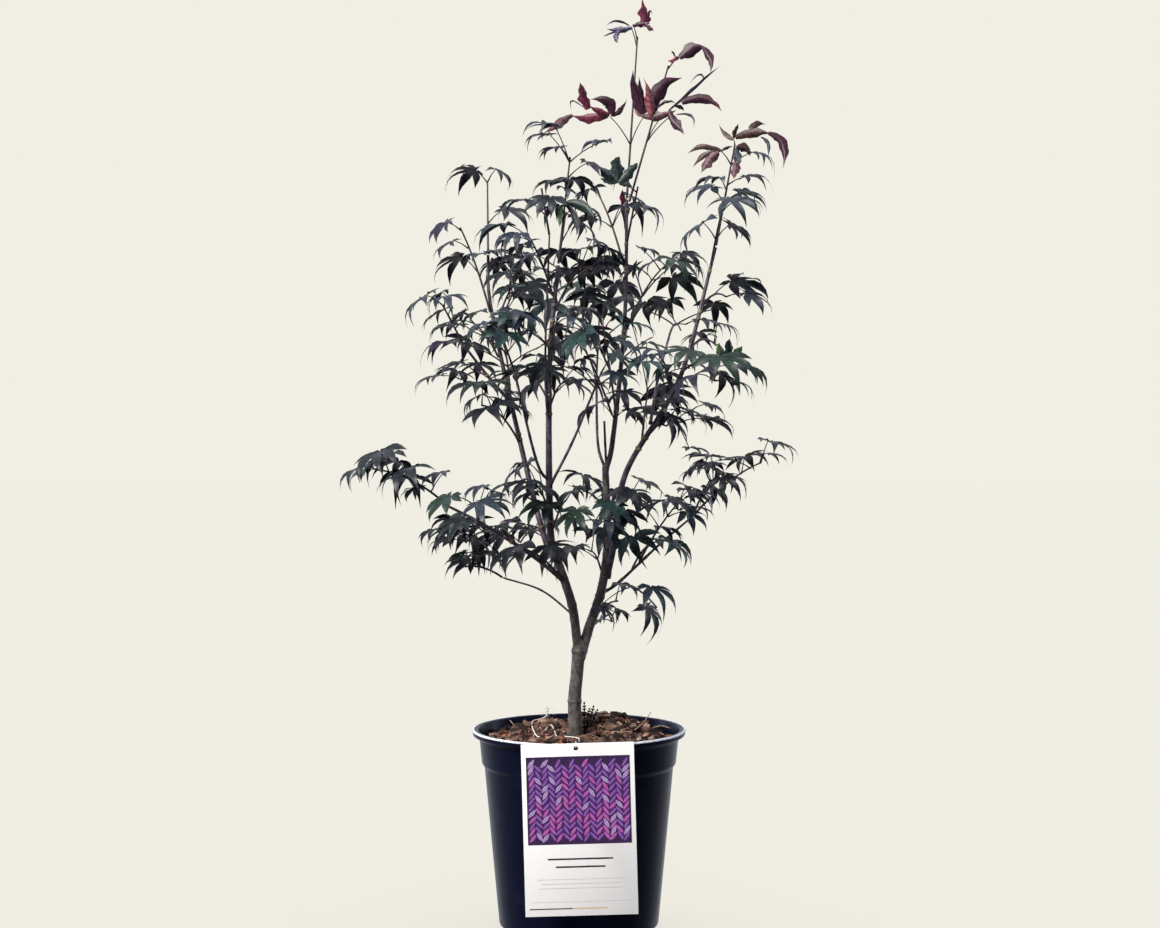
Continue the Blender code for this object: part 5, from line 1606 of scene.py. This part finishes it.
def add_lobe(bm, rng, angle, reach, right, left, rows):
    """One lobe between two notches, with its margins lifted from the midrib and a twist at its end."""
    part = bmesh.new()
    bmesh.ops.create_grid(part, x_segments=len(rows) + 1, y_segments=2, size=1)
    sway, twist = rng.uniform(-0.12, 0.12), rng.uniform(-0.7, 0.7)
    fullness = 0.45 + 0.55 * reach
    middle = polar(angle, (polar(*left) + polar(*right)).length * 0.45)
    for vert in part.verts:
        row, across = round((vert.co.x + 1) / 2 * (len(rows) + 1)), vert.co.y
        if row == 0:
            vert.co = Vector((0, 0, 0))
        elif row == 1:
            notch = polar(*(left if across > 0 else right)) + Vector((0, 0, FOLD * 0.1))
            vert.co = middle.lerp(notch, abs(across))
        else:
            share, half_width = rows[row - 2]
            bow = sway * share ** 3
            offset = Vector((share * reach, across * half_width * fullness + bow,
                             abs(across) ** 1.5 * half_width * FOLD + across * half_width * twist * share))
            vert.co = Matrix.Rotation(math.radians(angle), 3, "Z") @ offset
    add_to(bm, part)


def blade_pattern(seed):
    """A blade of unit length: lobes turned round the point where the stalk meets them."""
    rng = random.Random(seed)
    bm = bmesh.new()
    right = HEEL
    for angle, reach, notch_angle, notch_radius in HAND:
        left = (notch_angle, notch_radius)
        rows = BASAL_ROWS if abs(angle) > 100 else PLAIN_ROWS
        add_lobe(bm, rng, angle, reach * rng.uniform(0.90, 1.0), right, left, rows)
        right = left
    bmesh.ops.remove_doubles(bm, verts=bm.verts, dist=0.004)
    return bm


PATTERN_COUNT = 9
patterns = [blade_pattern(seed) for seed in range(PATTERN_COUNT)]
print("faces of a blade:", [len(pattern.faces) for pattern in patterns])

# %% Bend a blade and lay it on its stalk
LEAF_SCALE = 1.2
# how much of the droop comes early along a lobe, and how much at its end
SAG_LOW, SAG_HIGH = 0.10, 0.90
CURL_IN = 0.26


def draw_blade(bm, rng, leaf, unrest):
    """A copy of a pattern that lies nearly flat and whose lobes curl down at their ends."""
    part = rng.choice(patterns).copy()
    bend = rng.uniform(-0.14, 0.14)
    sags = [rng.uniform(-0.22, 0.16) * unrest for _ in HAND]
    side = leaf.up.cross(leaf.forward)
    place = Matrix((leaf.forward, side, leaf.up)).transposed() * leaf.length * LEAF_SCALE
    for vert in part.verts:
        reach = min(math.hypot(vert.co.x, vert.co.y), 1.0)
        heading = math.degrees(math.atan2(vert.co.y, vert.co.x))
        lobe = min(range(len(HAND)), key=lambda index: abs(HAND[index][0] - heading))
        flat = Matrix.Rotation(bend * reach ** 2, 3, "Z") @ Vector((vert.co.x, vert.co.y, 0))
        flat *= 1 - CURL_IN * reach ** 4
        drop = leaf.droop * (SAG_LOW * reach ** 2 + (SAG_HIGH + sags[lobe]) * reach ** 4)
        vert.co = leaf.base + place @ Vector((flat.x, flat.y, vert.co.z - drop))
    bmesh.ops.scale(part, vec=(MM, MM, MM), verts=part.verts)
    add_to(bm, part)


# %% A lobe on a line of its own
LOBE_ROWS, LOBE_COLUMNS = 14, 4
FULLEST = 0.42
FOOT_WIDTH = 0.42
LOBE_FOLD = 0.55


def lobe_width(share, bluntness):
    """Width of a single lobe at a share of its length: a quick rise, then a taper to the tip."""
    if share < FULLEST:
        return FOOT_WIDTH + (1 - FOOT_WIDTH) * math.sin(share / FULLEST * math.pi / 2)
    return (1 - ((share - FULLEST) / (1 - FULLEST)) ** 2) ** bluntness


def draw_lobe(bm, lobe, bluntness):
    """One lobe on a bowed line, folded along its midrib and turned a little towards its tip."""
    foot, tip = as_seen(lobe.foot), as_seen(lobe.tip)
    bow = Vector((lobe.bow[0], 0, lobe.bow[1])) * 2
    part = bmesh.new()
    bmesh.ops.create_grid(part, x_segments=LOBE_ROWS, y_segments=LOBE_COLUMNS, size=1)
    for vert in part.verts:
        share, across = (vert.co.x + 1) / 2, vert.co.y
        spot = foot.lerp(tip, share) + bow * 2 * share * (1 - share)
        heading = (tip - foot + bow * 2 * (1 - 2 * share)).normalized()
        side = heading.cross(Vector((0, 1, 0))).normalized()
        side.rotate(Matrix.Rotation(math.radians(35 * share), 3, heading))
        crinkle = 1 + 0.5 * noise.noise(Vector((share * 7, across * 1.5, foot.z)))
        half = lobe.width / 2 * lobe_width(share, bluntness) * crinkle
        spot += side * noise.noise(Vector((share * 2.6, foot.x, tip.z))) * lobe.width * 0.35 * share
        vert.co = spot + (side * across + side.cross(heading) * abs(across) * LOBE_FOLD) * half
    bmesh.ops.remove_doubles(part, verts=part.verts, dist=0.02)
    bmesh.ops.scale(part, vec=(MM, MM, MM), verts=part.verts)
    add_to(bm, part)


# %% Stalks and twigs
def draw_stalk(bm, root, base):
    """A thin stalk that swells where it leaves the twig, and arches over to the blade."""
    points = bent(root, base, (base - root).length * 0.07, 7)
    count = len(points) - 1
    radii = [0.62 - 0.2 * index / count for index in range(count + 1)]
    radii[0] = 0.85
    add_tube(bm, points, radii, 5)


def draw_twig(bm, twig, radius, thinner):
    """A twig that thins towards its end and swells at the last node."""
    points = bent(*twig, 6)
    count = len(points) - 1
    radii = [radius * (1 - thinner * index / count) for index in range(count + 1)]
    radii[-1] *= 1.25
    add_tube(bm, points, radii, 7)


# %% [markdown]
# ## Finish of the leaves
# A leaf has a thin waxy skin, which gives the eye a soft broad shine over fine mottling. The green of
# this plant goes from slate to nearly black, young growth at the top is wine or rosy red, and one
# spray of leaves keeps to one colour. So each colour is a material of its own, and a seeded draw
# deals the colours out by spray: a spray then looks the same from any side, in any copy.

# %% Leaf materials
def leaf_material(name, deep, main, roughness=0.42):
    """Waxy leaf skin: a soft broad shine over two close colours in mottles about 2 mm wide."""
    material, tree, shader, place = new_material(
        name, main, Roughness=roughness, IOR=1.42, Specular_IOR_Level=0.4)
    mottle = add_node(tree, "ShaderNodeTexNoise",
                      {"Vector": place, "Scale": 420, "Detail": 5, "Roughness": 0.6})
    lay_on(tree, shader, deep, [(mottle.outputs["Fac"], 0.40, 0.62, 0, 1, main)],
           [(mottle.outputs["Fac"], 0.25, 0.0004)])
    return material


# tint: its slot, deeper colour and main colour
LEAF_COLOURS = {
    "slate_green": ("leaf_green", "#191f27", "#2d3744"),
    "black_green": ("leaf_green", "#12151a", "#1f252d"),
    "deep_green": ("leaf_green", "#15231e", "#273831"),
    "violet_grey": ("leaf_purple", "#181623", "#282538"),
    "teal_green": ("leaf_green", "#162628", "#28413f"),
    "fresh_green": ("leaf_green", "#2f4a2a", "#557244"),
    "pale_slate": ("leaf_green", "#2c3638", "#4c5a58"),
    "lilac_grey": ("leaf_purple", "#2e2940", "#5c5674"),
    "wine": ("leaf_purple", "#281422", "#452338"),
    "russet": ("leaf_red", "#332625", "#5a4643"),
    "crimson": ("leaf_red", "#451b2c", "#7c384e"),
    "rose_brown": ("leaf_red", "#3e272e", "#694a50"),
    # salmon is a painted highlight: a pale pink that stands for light on young red lobes
    "salmon_highlight": ("leaf_red", "#6b3440", "#a86a72"),
}
leaf_materials = {name: leaf_material(name + "_leaf", deep, main)
                  for name, (_, deep, main) in LEAF_COLOURS.items()}
stalk_skin = leaf_material("leaf_stalk_skin", "#1c0f16", "#38222b", 0.4)
# how often each colour comes up in a mass of each tint
TINT_SHARES = {
    "green": {"slate_green": 5, "black_green": 7, "deep_green": 3, "teal_green": 2, "violet_grey": 2},
    "purple": {"slate_green": 4, "black_green": 3, "violet_grey": 4},
    "red": {"wine": 1},
}

# %% Draw the foliage
DEAL_SEED = 77
SPRAY = 3
UNREST = 1.4
dealer = random.Random(DEAL_SEED)
blades = {name: bmesh.new() for name in LEAF_COLOURS}
stalks, shoots = bmesh.new(), bmesh.new()
for mass in MASSES + INNER:
    shares = TINT_SHARES[mass.tint]
    twigs, leaves = foliage[mass.name]
    spurs, small_leaves = fine.get(mass.name, ([], []))
    for twig in twigs:
        draw_twig(shoots, twig, STEM_RADIUS if twig is twigs[0] else SHOOT_RADIUS, 0.35)
    for spur in spurs:
        draw_twig(shoots, spur, SPUR_RADIUS, 0.2)
    for index, leaf in enumerate(leaves + small_leaves):
        if index % SPRAY == 0:
            colour = dealer.choices(list(shares), list(shares.values()))[0]
        draw_blade(blades[leaf.colour or colour], dealer, leaf, UNREST if leaf.colour else 1)
        draw_stalk(stalks, leaf.root, leaf.base)
for leaf in UNROLLING:
    for lobe in leaf.lobes:
        draw_lobe(blades[lobe.colour], lobe, leaf.bluntness)
for node, base in unrolling_stalks:
    draw_stalk(stalks, node, base)
for name, bm in blades.items():
    add_piece("leaves_" + name, bm, [leaf_materials[name]], (), 60)
add_piece("leaf_stalks", stalks, [stalk_skin], (), 60)
add_piece("fine_shoots", shoots, [twig_bark], [mass.name for mass in MASSES], 60)

# %% [markdown]
# ## Camera, floor and light
# The camera stands level with the middle of the plant, 1.8 m away, with a lens of about 60 mm, so
# the pot's rim is seen from just above. The backdrop is a warm cream. A large soft light hangs in
# front and to the left, and a cool one stands on either side and draws pale lines down the pot.

# %% Camera
camera_data = bpy.data.cameras.new("camera")
camera_data.lens = 59.66
camera_data.sensor_width = 36
camera = bpy.data.objects.new("camera", camera_data)
bpy.context.collection.objects.link(camera)
camera.location = (0.001, -1.8, 0.4532)
camera.rotation_euler = (math.radians(89.28), 0, 0)
bpy.context.scene.camera = camera

# %% Floor
STUDIO_CREAM = "#f1eee3"
FRONT_LIGHT, BACK_LIGHT = 0.22, 0.95
# half of the even light from all sides comes back off the paper, so it needs to glow less
PAPER_LIGHT = (FRONT_LIGHT + BACK_LIGHT) / 2 * 0.5
paper, _, paper_shader, _ = new_material("studio_paper", "#c1beae", Roughness=1.0, Specular_IOR_Level=0)
paper_shader.inputs["Emission Color"].default_value = srgb(STUDIO_CREAM)
paper_shader.inputs["Emission Strength"].default_value = 1.08 - PAPER_LIGHT
floor_bm = bmesh.new()
bmesh.ops.create_circle(floor_bm, cap_ends=True, cap_tris=False, segments=64, radius=20)
floor_mesh = bpy.data.meshes.new("floor")
floor_bm.to_mesh(floor_mesh)
floor_bm.free()
floor = bpy.data.objects.new("floor", floor_mesh)
bpy.context.collection.objects.link(floor)
floor_mesh.materials.append(paper)
floor.visible_diffuse = False
floor.visible_glossy = False

# %% World: a cream backdrop, and a weaker light from all sides
world = bpy.data.worlds.new("studio")
world.use_nodes = True
bpy.context.scene.world = world
tree = world.node_tree
backdrop = tree.nodes["Background"]
backdrop.inputs["Color"].default_value = srgb(STUDIO_CREAM)
direction = add_node(tree, "ShaderNodeTexCoord")
parts = add_node(tree, "ShaderNodeSeparateXYZ", {"Vector": direction.outputs["Generated"]})
strength = add_node(tree, "ShaderNodeMapRange", {
    "Value": parts.outputs["Y"], "From Min": -0.1, "From Max": 0.8,
    "To Min": FRONT_LIGHT, "To Max": BACK_LIGHT})
ambient = add_node(tree, "ShaderNodeBackground", {
    "Color": srgb("#e6eaf4"), "Strength": strength.outputs["Result"]})
ray = add_node(tree, "ShaderNodeLightPath")
chosen = add_node(tree, "ShaderNodeMixShader", {
    0: ray.outputs["Is Camera Ray"], 1: ambient.outputs["Background"], 2: backdrop.outputs["Background"]})
tree.links.new(chosen.outputs["Shader"], tree.nodes["World Output"].inputs["Surface"])
bpy.context.scene.view_settings.view_transform = "Standard"

# %% Lights, which fall on the plant and not on the paper
lit = bpy.data.collections.new("lit_by_lamps")
for piece in bpy.context.scene.objects:
    if piece.type == "MESH" and piece is not floor:
        lit.objects.link(piece)


def add_light(name, place, target, size, watts, colour):
    """A soft rectangular light that faces a target."""
    data = bpy.data.lights.new(name, "AREA")
    data.shape = "RECTANGLE"
    data.size, data.size_y = size
    data.energy = watts
    data.color = srgb(colour)[:3]
    light = bpy.data.objects.new(name, data)
    light.location = place
    light.rotation_euler = (Vector(target) - Vector(place)).to_track_quat("-Z", "Y").to_euler()
    light.visible_camera = False
    light.light_linking.receiver_collection = lit
    bpy.context.collection.objects.link(light)
    print(name, watts, "W")


add_light("key", (-1.3, -1.5, 1.7), (0, 0, 0.45), (0.9, 0.9), 95, "#fffaf2")
add_light("top", (0.1, -0.2, 2.6), (0, 0, 0.5), (0.8, 0.8), 34, "#ffffff")
add_light("left_rim", (-1.6, 0.9, 0.6), (0, 0, 0.4), (0.35, 1.5), 10, "#d5e0ff")
add_light("right_rim", (1.6, 0.9, 0.6), (0, 0, 0.4), (0.35, 1.5), 10, "#d5e0ff")
